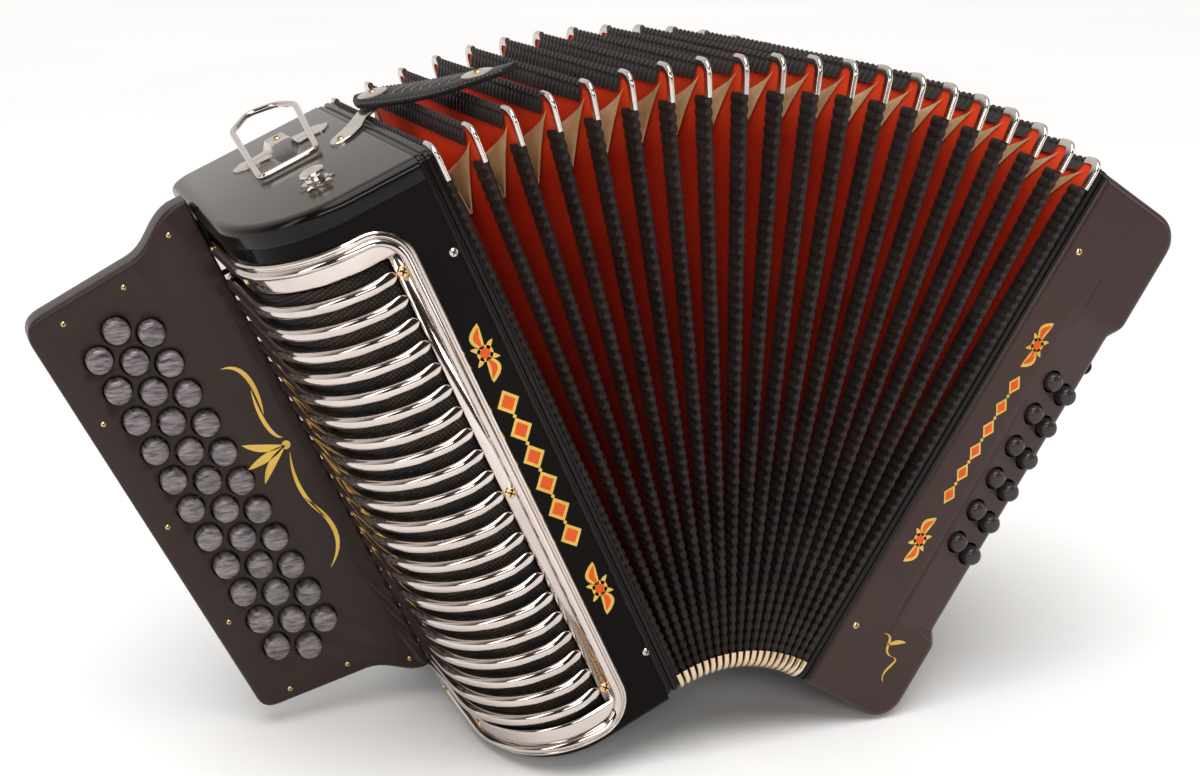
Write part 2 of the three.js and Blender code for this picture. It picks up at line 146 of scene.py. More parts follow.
# Camera
CAMERA_AZIMUTH = math.radians(-22.31)
CAMERA_ELEVATION = math.radians(16.15)
CAMERA_DISTANCE = 0.8645
CAMERA_ROLL = math.radians(0.19)


# ---------------------------------------------------------------- frames

def joint(name):
    return next(j for j in frame["joints"] if j["name"] == name)


def node_centre(name):
    low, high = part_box(name)
    return (Vector(low) + Vector(high)) / 2


def end_place(across, up, origin):
    rows = Matrix((across, Vector((0, 1, 0)), up)).transposed().to_4x4()
    return Matrix.Translation(origin) @ rows @ Matrix.Scale(MM, 4)


DEEP = Vector((0, 1, 0))
TREBLE_UP = Vector(joint("bellows_strap_swing")["axis"]).normalized()
TREBLE_ACROSS = DEEP.cross(TREBLE_UP)
STRAP_PIVOT = Vector((8.0, 110.0, 304.6))
BASS_ACROSS = -Vector(joint("air_button_press")["axis"]).normalized()
BASS_UP = BASS_ACROSS.cross(DEEP)
AIR_BUTTON_CENTRE = Vector((68.0, 32.0, 262.0))


def origin_from(known, local, across, up):
    return known - (across * local.x + DEEP * local.y + up * local.z) * MM


TREBLE_ORIGIN = origin_from(
    Vector(joint("bellows_strap_swing")["pos_m"]), STRAP_PIVOT, TREBLE_ACROSS, TREBLE_UP)
BASS_ORIGIN = origin_from(node_centre("air_button"), AIR_BUTTON_CENTRE, BASS_ACROSS, BASS_UP)
TREBLE = end_place(TREBLE_ACROSS, TREBLE_UP, TREBLE_ORIGIN)
BASS = end_place(BASS_ACROSS, BASS_UP, BASS_ORIGIN)
APEX = TREBLE_ORIGIN - TREBLE_UP * APEX_RADIUS * MM
TREBLE_ANGLE = math.atan2(TREBLE_UP.x, TREBLE_UP.z)
BASS_ANGLE = math.atan2(BASS_UP.x, BASS_UP.z)
FOLD_ANGLE = (BASS_ANGLE - TREBLE_ANGLE) / FOLDS


# ---------------------------------------------------------------- materials

class Nodes:
    """A short way to write a node material."""

    def __init__(self, name, **values):
        self.material = bpy.data.materials.new(name)
        self.material.use_nodes = True
        self.tree = self.material.node_tree
        self.shader = self.tree.nodes["Principled BSDF"]
        self.coords = self.tree.nodes.new("ShaderNodeTexCoord").outputs["Object"]
        for key, value in values.items():
            self.shader.inputs[key.replace("_", " ")].default_value = value

    def add(self, kind, inputs=None, **settings):
        node = self.tree.nodes.new("ShaderNode" + kind)
        for key, value in settings.items():
            setattr(node, key, value)
        for key, value in (inputs or {}).items():
            self.put(value, node.inputs[key])
        return node

    def put(self, value, socket):
        if isinstance(value, bpy.types.NodeSocket):
            self.tree.links.new(value, socket)
        else:
            socket.default_value = value

    def stretch(self, scale):
        return self.add("Mapping", {"Vector": self.coords, "Scale": scale}).outputs["Vector"]

    def noise(self, scale, detail=3.0, vector=None, rough=0.55):
        inputs = {"Scale": scale, "Detail": detail, "Roughness": rough, "Vector": vector or self.coords}
        return self.add("TexNoise", inputs).outputs["Fac"]

    def cells(self, scale):
        inputs = {"Scale": scale, "Vector": self.coords}
        return self.add("TexVoronoi", inputs, feature="DISTANCE_TO_EDGE").outputs["Distance"]

    def weave(self, scale, vector=None):
        """Height of threads that cross each other."""
        inputs = {"Scale": scale, "Vector": vector or self.coords}
        warp = self.add("TexWave", inputs, bands_direction="X").outputs["Fac"]
        weft = self.add("TexWave", inputs, bands_direction="Z").outputs["Fac"]
        return self.maths("MAXIMUM", warp, weft)

    def ramp(self, factor, *stops):
        node = self.add("ValToRGB", {"Fac": factor})
        elements = node.color_ramp.elements
        while len(elements) < len(stops):
            elements.new(0.5)
        for element, (place, colour) in zip(elements, stops):
            element.position = place
            element.color = (*colour, 1) if len(colour) == 3 else colour
        return node.outputs["Color"]

    def spread(self, factor, low, high):
        inputs = {"Value": factor, "To Min": low, "To Max": high}
        return self.add("MapRange", inputs).outputs["Result"]

    def mix(self, factor, a, b, blend="MIX"):
        node = self.add("Mix", data_type="RGBA", blend_type=blend)
        self.put(factor, node.inputs[0])
        self.put(a if not isinstance(a, tuple) else (*a, 1), node.inputs[6])
        self.put(b if not isinstance(b, tuple) else (*b, 1), node.inputs[7])
        return node.outputs[2]

    def maths(self, operation, a, b=0.0):
        node = self.add("Math", operation=operation)
        self.put(a, node.inputs[0])
        self.put(b, node.inputs[1])
        return node.outputs[0]

    def colour(self, value):
        self.put(value, self.shader.inputs["Base Color"])

    def rough(self, value):
        self.put(value, self.shader.inputs["Roughness"])

    def bump(self, height, strength, distance):
        node = self.add("Bump", {"Height": height, "Strength": strength, "Distance": distance})
        self.tree.links.new(node.outputs["Normal"], self.shader.inputs["Normal"])


def lacquer(name, dark, light, rough_low, rough_high, coat, gloss=0.2):
    m = Nodes(name, Coat_Weight=coat, Coat_Roughness=0.04, Specular_IOR_Level=gloss,
              Specular_Tint=(1.0, 0.93, 0.87, 1.0))
    m.colour(m.ramp(m.noise(9, 4), (0.3, dark), (0.75, light)))
    m.rough(m.spread(m.noise(35, 5), rough_low, rough_high))
    m.bump(m.noise(420, 2), 0.04, 0.0004)
    return m.material


def lacquer_with_painted_reflection(name):
    """Black lacquer whose upward faces are painted grey: a painted reflection of the room above."""
    m = Nodes(name, Coat_Weight=0.0, Specular_IOR_Level=0.2)
    normal = m.add("NewGeometry").outputs["Normal"]
    up = m.add("VectorMath", {0: normal, 1: TREBLE_UP}, operation="DOT_PRODUCT").outputs["Value"]
    # painted reflection: the more a face turns upward, the more it is coloured grey
    painted_reflection = m.add("MapRange", {"Value": up, "From Min": 0.72, "From Max": 0.985}).outputs["Result"]
    grey = m.ramp(m.noise(7, 3), (0.3, (0.040, 0.030, 0.023)), (0.7, (0.052, 0.040, 0.031)))
    m.colour(m.mix(painted_reflection, (0.004, 0.003, 0.003), grey))
    m.rough(m.spread(m.noise(35, 5), 0.12, 0.18))
    return m.material


def metal(name, dark, light, rough_low, rough_high, scratch=0.05):
    m = Nodes(name, Metallic=1.0)
    m.colour(m.ramp(m.noise(30, 4), (0.3, dark), (0.7, light)))
    m.rough(m.spread(m.noise(160, 6), rough_low, rough_high))
    m.bump(m.noise(900, 3, m.stretch((1, 1, 0.15))), scratch, 0.0002)
    return m.material


def chrome(name, dark, light, rough_low, rough_high):
    m = Nodes(name, Metallic=1.0)
    m.colour(m.ramp(m.noise(30, 4), (0.3, dark), (0.7, light)))
    m.rough(m.spread(m.noise(60, 3), rough_low, rough_high))
    return m.material


def bellows_cloth(name):
    """Red cloth with painted shade and painted light: darker towards the inner end of the folds and brighter
    at their outer corners, with random soiling over it.
    """
    m = Nodes(name, Specular_IOR_Level=0.12)
    offset = m.add("VectorMath", {0: m.coords, 1: APEX}, operation="SUBTRACT").outputs["Vector"]
    flat = m.add("VectorMath", {0: offset, 1: (1, 0, 1)}, operation="MULTIPLY").outputs["Vector"]
    radius = m.add("VectorMath", {0: flat}, operation="LENGTH").outputs["Value"]
    outer = OUTER_RADIUS * MM
    reach = m.add("MapRange", {"Value": radius, "From Min": 0.1, "From Max": outer}).outputs["Result"]
    # painted shade and painted light: the red darkens towards the apex and brightens near the outer corners
    red_with_painted_shade = m.ramp(reach, (0.0, (0.10, 0.006, 0.002)), (0.55, (0.24, 0.011, 0.003)),
                   (0.86, (0.42, 0.021, 0.005)), (0.97, (0.80, 0.065, 0.016)))
    soil = m.ramp(m.noise(26, 5), (0.3, (0.72, 0.66, 0.62)), (0.75, (1, 1, 1)))
    m.colour(m.mix(1.0, red_with_painted_shade, soil, "MULTIPLY"))
    m.rough(m.spread(m.noise(60, 3), 0.65, 0.85))
    m.bump(m.maths("ADD", m.weave(420.0), m.noise(700, 3)), 0.2, 0.0003)
    return m.material


def ribbon(name, dark, light):
    m = Nodes(name, Specular_IOR_Level=0.3)
    m.colour(m.ramp(m.noise(45, 5), (0.3, dark), (0.75, light)))
    m.rough(m.spread(m.noise(90, 4), 0.42, 0.6))
    m.bump(m.noise(1500, 4), 0.25, 0.0003)
    return m.material


def cloth(name, dark, light, threads, roughness=0.8):
    m = Nodes(name, Sheen_Weight=0.04, Sheen_Roughness=0.5, Specular_IOR_Level=0.2)
    thread = m.weave(threads)
    base = m.ramp(m.noise(28, 5), (0.3, dark), (0.75, light))
    m.colour(m.mix(m.spread(thread, 0.0, 0.35), base, dark))
    m.rough(m.spread(m.noise(60, 3), roughness - 0.08, roughness + 0.05))
    m.bump(m.maths("ADD", thread, m.noise(700, 3)), 0.25, 0.0003)
    return m.material


def leather(name, dark, light, grain, roughness=0.45, gloss=0.3):
    m = Nodes(name, Specular_IOR_Level=gloss, Coat_Weight=0.05, Coat_Roughness=0.3)
    pores = m.cells(grain)
    m.colour(m.ramp(m.noise(40, 6), (0.3, dark), (0.75, light)))
    m.rough(m.spread(m.noise(90, 4), roughness - 0.1, roughness + 0.12))
    m.bump(m.maths("ADD", m.maths("MULTIPLY", pores, 1.6), m.noise(500, 4)), 0.35, 0.0005)
    return m.material


def pearl(name):
    m = Nodes(name, Coat_Weight=0.6, Coat_Roughness=0.03, Specular_IOR_Level=0.3)
    streak = m.add("Mapping", {"Vector": m.coords, "Rotation": (0, 0.5, 0), "Scale": (160, 20, 900)})
    bands = m.noise(1.0, 3, streak.outputs["Vector"], 0.6)
    m.colour(m.ramp(bands, (0.34, (0.045, 0.037, 0.04)), (0.5, (0.15, 0.125, 0.13)),
                    (0.68, (0.26, 0.225, 0.23))))
    m.rough(m.spread(m.noise(200, 2), 0.12, 0.25))
    return m.material


def wood(name, dark, light):
    m = Nodes(name)
    grain = m.noise(14, 6, m.stretch((9, 9, 0.7)), 0.65)
    m.colour(m.ramp(grain, (0.3, dark), (0.7, light)))
    m.rough(m.spread(grain, 0.5, 0.7))
    m.bump(grain, 0.2, 0.0004)
    return m.material


def wire_mesh(name):
    m = Nodes(name, Specular_IOR_Level=0.4)
    turned = m.add("Mapping", {"Vector": m.coords, "Rotation": (0.0, 0.785, 0.3)}).outputs["Vector"]
    net = m.weave(190.0, turned)
    patches = m.ramp(m.noise(45, 2), (0.42, (0.010, 0.006, 0.004)), (0.62, (0.085, 0.052, 0.026)))
    m.colour(m.mix(net, patches, (0.006, 0.005, 0.005)))
    m.rough(m.spread(net, 0.4, 0.8))
    m.bump(net, 0.5, 0.0005)
    return m.material


def floor_paint(name):
    m = Nodes(name, Specular_IOR_Level=0.2)
    m.colour(m.ramp(m.noise(0.8, 2), (0.3, (0.88, 0.875, 0.87)), (0.7, (0.92, 0.915, 0.91))))
    m.rough(m.spread(m.noise(3, 3), 0.75, 0.9))
    return m.material


BLACK = lacquer("black_lacquer", (0.003, 0.0022, 0.002), (0.005, 0.004, 0.004), 0.05, 0.1, 0.03, 0.05)
LID = lacquer_with_painted_reflection("lid_lacquer")
BROWN = lacquer("satin_brown", (0.036, 0.0185, 0.017), (0.046, 0.025, 0.023), 0.32, 0.42, 0.1)
BOARD = lacquer("board_satin", (0.022, 0.0125, 0.0115), (0.029, 0.0165, 0.015), 0.3, 0.4, 0.15)
MOULDING = lacquer("frame_moulding", (0.004, 0.003, 0.003), (0.007, 0.005, 0.005), 0.2, 0.3, 0.1, 0.15)
CHROME = chrome("chrome", (0.60, 0.53, 0.49), (0.70, 0.635, 0.60), 0.07, 0.13)
NICKEL = chrome("nickel", (0.56, 0.51, 0.46), (0.68, 0.63, 0.58), 0.17, 0.25)
WARM = chrome("warm_nickel", (0.62, 0.47, 0.32), (0.80, 0.66, 0.50), 0.17, 0.25)
BRASS = chrome("brass", (0.66, 0.43, 0.2), (0.82, 0.60, 0.32), 0.16, 0.26)
GOLD = metal("gold_inlay", (0.62, 0.40, 0.07), (0.80, 0.55, 0.14), 0.35, 0.5, 0.02)
ORANGE = cloth("orange_inlay", (0.62, 0.07, 0.008), (0.75, 0.12, 0.02), 300, 0.5)
RED = bellows_cloth("bellows_red")
TAPE = ribbon("ribbed_tape", (0.011, 0.0075, 0.0068), (0.024, 0.017, 0.015))
TAN = leather("gusset_leather", (0.36, 0.22, 0.10), (0.66, 0.49, 0.28), 260, 0.6)
HIDE = leather("strap_leather", (0.0055, 0.005, 0.005), (0.012, 0.0105, 0.010), 900, 0.4, 0.15)
PEARL = pearl("grey_pearl")
DARK_BUTTON = lacquer("dark_button", (0.020, 0.015, 0.016), (0.036, 0.028, 0.029), 0.2, 0.3, 0.3)
# near-black painted shade for screw slots, bores and the discs behind the fingerboard's holes
HOLE_SHADE = lacquer("painted_hole_shade", (0.003, 0.003, 0.003), (0.005, 0.004, 0.004), 0.5, 0.6, 0.0, 0.05)
NET = wire_mesh("grille_net")
BEECH = wood("reed_beech", (0.33, 0.19, 0.08), (0.55, 0.37, 0.2))
THREAD = cloth("thread", (0.13, 0.12, 0.115), (0.22, 0.21, 0.195), 900, 0.7)
# rubber for the edge knobs, and painted shade for the dark strip in the gap beside the fingerboard
RUBBER_AND_GAP_SHADE = lacquer("rubber_and_gap_shade", (0.006, 0.006, 0.006), (0.010, 0.009, 0.009), 0.55, 0.7, 0.0, 0.1)


# ---------------------------------------------------------------- mesh helpers

def piece(name, verts, faces, place, materials, body=None, which=None, sharp=38):
    """A mesh object from points in an end's frame, set in the shared frame and shaded smooth."""
    mesh = bpy.data.meshes.new(name)
    mesh.from_pydata([tuple(v) for v in verts], [], faces)
    for material in materials if isinstance(materials, (list, tuple)) else [materials]:
        mesh.materials.append(material)
    if which:
        mesh.polygons.foreach_set("material_index", which)
    mesh.transform(place)
    work = bmesh.new()
    work.from_mesh(mesh)
    bmesh.ops.remove_doubles(work, verts=work.verts, dist=2e-6)
    bmesh.ops.recalc_face_normals(work, faces=work.faces)
    work.to_mesh(mesh)
    work.free()
    mesh.polygons.foreach_set("use_smooth", [True] * len(mesh.polygons))
    mesh.set_sharp_from_angle(angle=math.radians(sharp))
    obj = bpy.data.objects.new(name, mesh)
    bpy.context.scene.collection.objects.link(obj)
    if body:
        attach(obj, body)
    return obj


def loft(rings, closed=True, caps=True, loop=False):
    """Vertices and faces of a skin through rings that hold equal numbers of points."""
    count = len(rings[0])
    verts = [p for ring in rings for p in ring]
    faces = []
    last = len(rings) if loop else len(rings) - 1
    for k in range(last):
        a, b = k * count, (k + 1) % len(rings) * count
        for i in range(count if closed else count - 1):
            j = (i + 1) % count
            faces.append((a + i, a + j, b + j, b + i))
    if caps and not loop:
        faces.append(tuple(range(count))[::-1])
        faces.append(tuple(range((len(rings) - 1) * count, len(rings) * count)))
    return verts, faces


def combine(parts):
    """Joins several (verts, faces) pairs into one, with a material number for each face."""
    verts, faces, which = [], [], []
    for v, f, *rest in parts:
        shift = len(verts)
        verts += list(v)
        faces += [tuple(i + shift for i in face) for face in f]
        which += [rest[0] if rest else 0] * len(f)
    return verts, faces, which


def arc(cx, cy, radius, start, stop, steps):
    angles = [math.radians(start + (stop - start) * i / steps) for i in range(steps + 1)]
    return [(cx + radius * math.cos(a), cy + radius * math.sin(a)) for a in angles]


def quarter(steps):
    """Angles from nothing to a right angle."""
    return [math.pi / 2 * i / steps for i in range(steps + 1)]


def level(outline, z):
    """An (x, y) outline lifted to height z."""
    return [Vector((x, y, z)) for x, y in outline]


def between(a, b, t):
    return a + (b - a) * t


def rounded_rect(x0, x1, y0, y1, radius, steps=6):
    return (arc(x1 - radius, y0 + radius, radius, -90, 0, steps)
            + arc(x1 - radius, y1 - radius, radius, 0, 90, steps)
            + arc(x0 + radius, y1 - radius, radius, 90, 180, steps)
            + arc(x0 + radius, y0 + radius, radius, 180, 270, steps))


def smooth(t):
    t = min(max(t, 0.0), 1.0)
    return t * t * (3 - 2 * t)


def lathe(profile, centre, axis, steps=32):
    """Turned solid: profile is (radius, height) from the axis to the axis, along axis from centre."""
    axis = Vector(axis).normalized()
    side = axis.orthogonal().normalized()
    other = axis.cross(side)
    turns = [2 * math.pi * i / steps for i in range(steps)]
    spokes = [side * math.cos(a) + other * math.sin(a) for a in turns]
    rings = [[Vector(centre) + axis * height + spoke * radius for spoke in spokes]
             for radius, height in profile]
    return loft(rings)


def plug(radius, low, high, centre, axis, steps=32):
    """A plain cylinder between two heights on its axis."""
    return lathe([(0.01, low), (radius, low), (radius, high), (0.01, high)], centre, axis, steps)


def sweep(path, profile, normals, closed=False):
    """Carries a profile of (side, out) points along a path with given outward normals."""
    rings = []
    count = len(path)
    for i, point in enumerate(path):
        before = path[(i - 1) % count] if closed or i else path[i]
        after = path[(i + 1) % count] if closed or i < count - 1 else path[i]
        along = (after - before).normalized()
        out = (normals[i] - along * normals[i].dot(along)).normalized()
        side = along.cross(out)
        rings.append([point + side * s + out * o for s, o in profile])
    return loft(rings, loop=closed)


def round_profile(radius, steps=12):
    angles = [2 * math.pi * i / steps for i in range(steps)]
    return [(radius * math.cos(a), radius * math.sin(a)) for a in angles]


def screw(centre, axis, radius, height=0.9):
    """A domed screw head and its cross slot, as (verts, faces, material number) parts."""
    axis = Vector(axis).normalized()
    centre = Vector(centre)
    head = lathe([(0.01, -1), (radius, -1), (radius, height * 0.2), (radius * 0.8, height * 0.75),
                  (radius * 0.45, height), (0.01, height)], centre, axis, 20)
    side = axis.orthogonal().normalized()
    other = axis.cross(side)
    base = centre + axis * (height + 0.04)
    long, wide = radius * 0.62, radius * 0.13
    parts = [(*head, 0)]
    # the cross slot takes material number 1, the black painted shade
    for a, b in ((side, other), (other, side)):
        ring = [base + a * s * long + b * t * wide for s, t in ((-1, -1), (1, -1), (1, 1), (-1, 1))]
        deep = [p - axis * 0.3 for p in ring]
        parts.append((*loft([deep, ring]), 1))
    return parts


def screws(name, places, place, body, finish=NICKEL, radius=2.2):
    parts = [part for centre, axis in places for part in screw(centre, axis, radius)]
    verts, faces, which = combine(parts)
    return piece(name, verts, faces, place, [finish, HOLE_SHADE], body, which)


# ---------------------------------------------------------------- bellows

def fan_point(angle, y, r):
    return APEX + Vector((r * math.sin(angle), y, r * math.cos(angle))) * MM


def fan_normal(angle):
    """The direction square to a fold's plane, towards the bass end."""
    return Vector((math.cos(angle), 0, -math.sin(angle)))


def ridge_angle(i):
    return TREBLE_ANGLE + i * FOLD_ANGLE


def section_of(i):
    return next(k for k in range(3) if i <= SECTION_ENDS[k + 1])


def follow_fan(obj, section, replace=False):
    """Bakes the piece's placement into its mesh; with replace it also hides the section's imported part."""
    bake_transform(obj)
    if replace:
        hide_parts(f"bellows_section_{section + 1}")


def stations(side_steps=22, top_steps=12, corner_steps=4):
    """Matching points on a ridge and on the next valley, all the way round, as ((y, r), (y, r))."""
    low, high = APEX_RADIUS, OUTER_RADIUS
    f = FOLD_DEPTH
    corners = [  # ridge corner, valley corner, direction that leads to it and direction that leads on
        (Vector((DEPTH, low)), Vector((DEPTH - f, low + f)), Vector((1, 0)), Vector((0, 1))),
        (Vector((DEPTH, high)), Vector((DEPTH - f, high - f)), Vector((0, 1)), Vector((-1, 0))),
        (Vector((0, high)), Vector((f, high - f)), Vector((-1, 0)), Vector((0, -1))),
        (Vector((0, low)), Vector((f, low + f)), Vector((0, -1)), Vector((1, 0))),
    ]
    result = []
    for k, (ridge, valley, came, goes) in enumerate(corners):
        centre = ridge + (goes - came) * RIDGE_CORNER
        for i, a in enumerate(quarter(corner_steps)):
            t = i / corner_steps
            outer = centre + (came * math.sin(a) - goes * math.cos(a)) * RIDGE_CORNER
            inner = valley + (goes * t - came * (1 - t)) * GUSSET_CUT
            result.append((outer, inner))
        next_ridge, next_valley, onward, _ = corners[(k + 1) % 4]
        stop = (next_ridge - onward * RIDGE_CORNER, next_valley - onward * GUSSET_CUT)
        start = result[-1]
        steps = side_steps if goes.x == 0 else top_steps
        for i in range(1, steps):
            result.append(tuple(between(a, b, i / steps) for a, b in zip(start, stop)))
    return result


def fold_point(ridge, side, t, spot, lift):
    """A point of the half fold beside a ridge: t is 0 on the ridge and 1 in the valley, spot is (y, r)."""
    angle = ridge_angle(ridge) + side * FOLD_ANGLE / 2 * t
    return fan_point(angle, spot.x, spot.y) + fan_normal(angle) * side * lift * MM


def half_fold(ridge, side, ring, steps=5):
    rings = []
    for k in range(steps + 1):
        t = k / steps
        sag = FOLD_SAG * math.sin(math.pi * t)
        rings.append([fold_point(ridge, side, t, between(outer, inner, t), -sag) for outer, inner in ring])
    return loft(rings, caps=False)


def fold_pieces():
    """The folds with their gussets. A ridge where two sections meet is made in two halves."""
    ring = stations()
    for ridge in range(FOLDS + 1):
        sides = [s for s in (-1, 1) if 0 <= ridge + s * 0.5 <= FOLDS]
        if ridge not in SECTION_ENDS:
            half_folds(ridge, sides, ring, section_of(ridge), "")
            continue
        for side in sides:
            section = SECTION_ENDS.index(ridge) if side == 1 else section_of(ridge)
            half_folds(ridge, [side], ring, section, "_left" if side == -1 else "_right")


def half_folds(ridge, sides, ring, section, suffix):
    verts, faces, _ = combine([half_fold(ridge, side, ring) for side in sides])
    fold = piece(f"fold_{ridge:02d}{suffix}", verts, faces, Matrix(), RED, sharp=60)
    follow_fan(fold, section, replace=True)
    verts, faces, _ = combine([gusset for side in sides for gusset in gussets(ridge, side)])
    leaves = piece(f"gussets_{ridge:02d}{suffix}", verts, faces, Matrix(), TAN, sharp=60)
    follow_fan(leaves, section)


def gussets(ridge, side):
    """Leaf-shaped leather facings over the four inner corners of a half fold."""
    depths = ((0, 1), (DEPTH, -1))
    radii = ((APEX_RADIUS, 1), (OUTER_RADIUS, -1))
    return [gusset_leaf(ridge, side, *depth, *radius) for depth in depths for radius in radii]


def gusset_leaf(ridge, side, y_edge, y_in, r_edge, r_in, steps=16, across=4):
    """One leaf: its long edge lies across the valley's corner, its tip points to the ridge's corner."""
    f = FOLD_DEPTH
    corner = Vector((y_edge, r_edge))
    first = corner + Vector((y_in * f, r_in * (f + LEAF_CUT)))
    last = corner + Vector((y_in * (f + LEAF_CUT), r_in * f))
    diagonal = 2 * f + GUSSET_CUT - RIDGE_CORNER
    rings = []
    for i in range(steps + 1):
        u = i / steps
        base = between(first, last, u)
        tip = between(base, corner, LEAF_REACH * (1 - abs(2 * u - 1)) ** 0.62)
        crease = 0.5 * (1 - min(abs(u - 0.5) * 5, 1))
        row = []
        for k in range(across + 1):
            spot = between(base, tip, k / across)
            dy = (spot.x - corner.x) * y_in
            dr = (spot.y - corner.y) * r_in
            t = max(0.0, min(dy / f, dr / f, (dy + dr - RIDGE_CORNER) / diagonal))
            lift = 0.5 + 0.7 * math.sin(math.pi * k / across) + crease
            row.append(fold_point(ridge, side, t, spot, lift))
        rings.append(row)
    return loft(rings, closed=False, caps=False)


def tape_side(ridge, start, stop, inward):
    """Ribbed tape wrapped over one straight side of a ridge, from start to stop, (y, r) points."""
    start, stop, inward = Vector(start), Vector(stop), Vector(inward)
    swell = (0.0, 0.75, 1.0, 0.95, 0.6)
    steps = round((stop - start).length / TAPE_PITCH) * len(swell)
    half = [(TAPE_WIDTH, 0.1, 0.0), (TAPE_WIDTH - 0.2, 0.35, 0.7), (TAPE_WIDTH * 0.6, 0.35, 1.0),
            (2.9, 0.4, 0.8), (1.6, 0.5, 0.2), (0.2, 0.9, 0.9)]  # depth, lift, share of the rib
    section = [(-1, *p) for p in half] + [(0, -1.2, 0.0, 1.0)] + [(1, *p) for p in half[::-1]]
    rings = []
    for i in range(steps + 1):
        spot = between(start, stop, i / steps)
        rib = swell[i % len(swell)]
        row = []
        for side, depth, lift, share in section:
            roll = 0.8 * rib * share if depth < 0 else 0.0
            t = max(depth, 0) / FOLD_DEPTH
            rise = lift + RIB_HEIGHT * rib * share
            row.append(fold_point(ridge, side, t, spot + inward * (depth - roll), rise))
        rings.append(row)
    return loft(rings, closed=False, caps=False)


def tapes():
    r0, r1 = APEX_RADIUS, OUTER_RADIUS
    top, low, high = CAP_FRONT - 0.5, CAP_FRONT_LOW - 0.5, CAP_TOP + 1.5
    for ridge in range(FOLDS + 1):
        verts, faces, _ = combine([
            tape_side(ridge, (0, r0 + low), (0, r1 - top), (1, 0)),
            tape_side(ridge, (high, r1), (DEPTH - high, r1), (0, -1)),
            tape_side(ridge, (DEPTH, r1 - top), (DEPTH, r0 + low), (-1, 0)),
            tape_side(ridge, (DEPTH - high, r0), (high, r0), (0, 1)),
        ])
        tape = piece(f"tape_{ridge:02d}", verts, faces, Matrix(), TAPE, sharp=50)
        on_ridge(tape, ridge)


def on_ridge(obj, ridge):
    if ridge in SECTION_ENDS:
        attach(obj, BELLOWS_BODIES[SECTION_ENDS.index(ridge)])
    else:
        follow_fan(obj, section_of(ridge))


def cap(ridge, y_edge, y_in, r_edge, r_in, leg, bend=16):
    """A bent metal channel over one corner of a ridge, its leg on the front or back that long."""
    c = RIDGE_CORNER
    centre = (y_edge + y_in * c, r_edge + r_in * c)
    points = [(y_edge, r_edge + r_in * (leg - (leg - c) * k / 4)) for k in range(4)]
    points += [(centre[0] - y_in * c * math.cos(a), centre[1] - r_in * c * math.sin(a))
               for a in quarter(bend)]
    points += [(y_edge + y_in * (c + 1 + k * 2), r_edge) for k in range(3)]
    angle = ridge_angle(ridge)
    path, normals = [], []
    for i, (y, r) in enumerate(points):
        away = Vector((centre[0] - y, 0, centre[1] - r))
        if i < 4:
            away = Vector((y_in, 0, 0))
        elif i > 4 + bend:
            away = Vector((0, 0, r_in))
        out = -away.normalized()
        world = Vector((out.z * math.sin(angle), out.x, out.z * math.cos(angle)))
        path.append(fan_point(angle, y, r) + world * CAP_LIFT * MM)
        normals.append(world)
    half = CAP_HALF * MM
    turns = [math.radians(degrees) for degrees in range(0, 181, 15)]
    profile = [(half * math.cos(a), half * 1.1 * math.sin(a)) for a in turns]
    profile += [(half * share, -CAP_WALL * MM) for share in (-0.9, -0.5, 0.5, 0.9)]
    return sweep(path, profile, normals)


def caps():
    kinds = (("upper", OUTER_RADIUS, -1, CAP_FRONT, NICKEL), ("lower", APEX_RADIUS, 1, CAP_FRONT_LOW, WARM))
    for ridge in range(FOLDS + 1):
        for label, r_edge, r_in, leg, finish in kinds:
            parts = [cap(ridge, y_edge, y_in, r_edge, r_in, leg) for y_edge, y_in in ((0, 1), (DEPTH, -1))]
            verts, faces, _ = combine(parts)
            corner = piece(f"corner_caps_{label}_{ridge:02d}", verts, faces, Matrix(), finish, sharp=50)
            on_ridge(corner, ridge)


def end_frame(name, place, flip, body, top):
    """The grooved black frame that the bellows end is seated in."""
    profile = [(9, -14), (9, 0.2), (8.5, 0.9), (6.9, 0.9), (6.4, 0.1), (5.6, 0.1), (5.0, 1.1), (3.2, 1.1),
               (2.6, 0.3), (1.4, 0.2), (0.6, -0.5), (0.6, -14)]  # distance from the bellows plane, growth
    rings = []
    for x, grow in profile:
        rect = rounded_rect(-grow, DEPTH + grow, -grow, top + grow, max(3 + grow, 0.6), 5)
        rings.append([Vector((flip * x, y, z)) for y, z in rect])
    verts, faces = loft(rings, loop=True)
    return piece(name, verts, faces, place, MOULDING, body, sharp=30)


# ---------------------------------------------------------------- treble case

def treble_plan(grow, recess=0.0, back=DEPTH):
    """Plan of the treble body. The stretch behind the grille can be set back by recess."""
    left = CASE_LEFT - grow
    cx, cy = CASE_LEFT + CORNER_ACROSS, CORNER_DEEP
    across, deep = CORNER_ACROSS + grow - recess, CORNER_DEEP + grow - recess
    points = [(-FRAME_WIDTH, -grow), (WINDOW_INNER, -grow), (WINDOW_INNER, -grow + recess)]
    points += [(cx - across * math.sin(a), cy - deep * math.cos(a)) for a in quarter(18)]
    points += [(left + recess, WINDOW_BACK), (left, WINDOW_BACK)]
    points += [(left + BACK_CORNER * (1 - math.cos(a)), back - BACK_CORNER * (1 - math.sin(a)))
               for a in quarter(6)]
    points.append((-FRAME_WIDTH, back))
    return points


def edge_levels(z0, z1, low, high, steps=5):
    """(height, inset) pairs of a slab whose lower and upper edges are rounded."""
    levels = [(z0 + low * (1 - math.cos(a)), low * (1 - math.sin(a))) for a in quarter(steps)]
    levels += [(z1 - high * (1 - math.cos(a)), high * (1 - math.sin(a))) for a in reversed(quarter(steps))]
    return levels


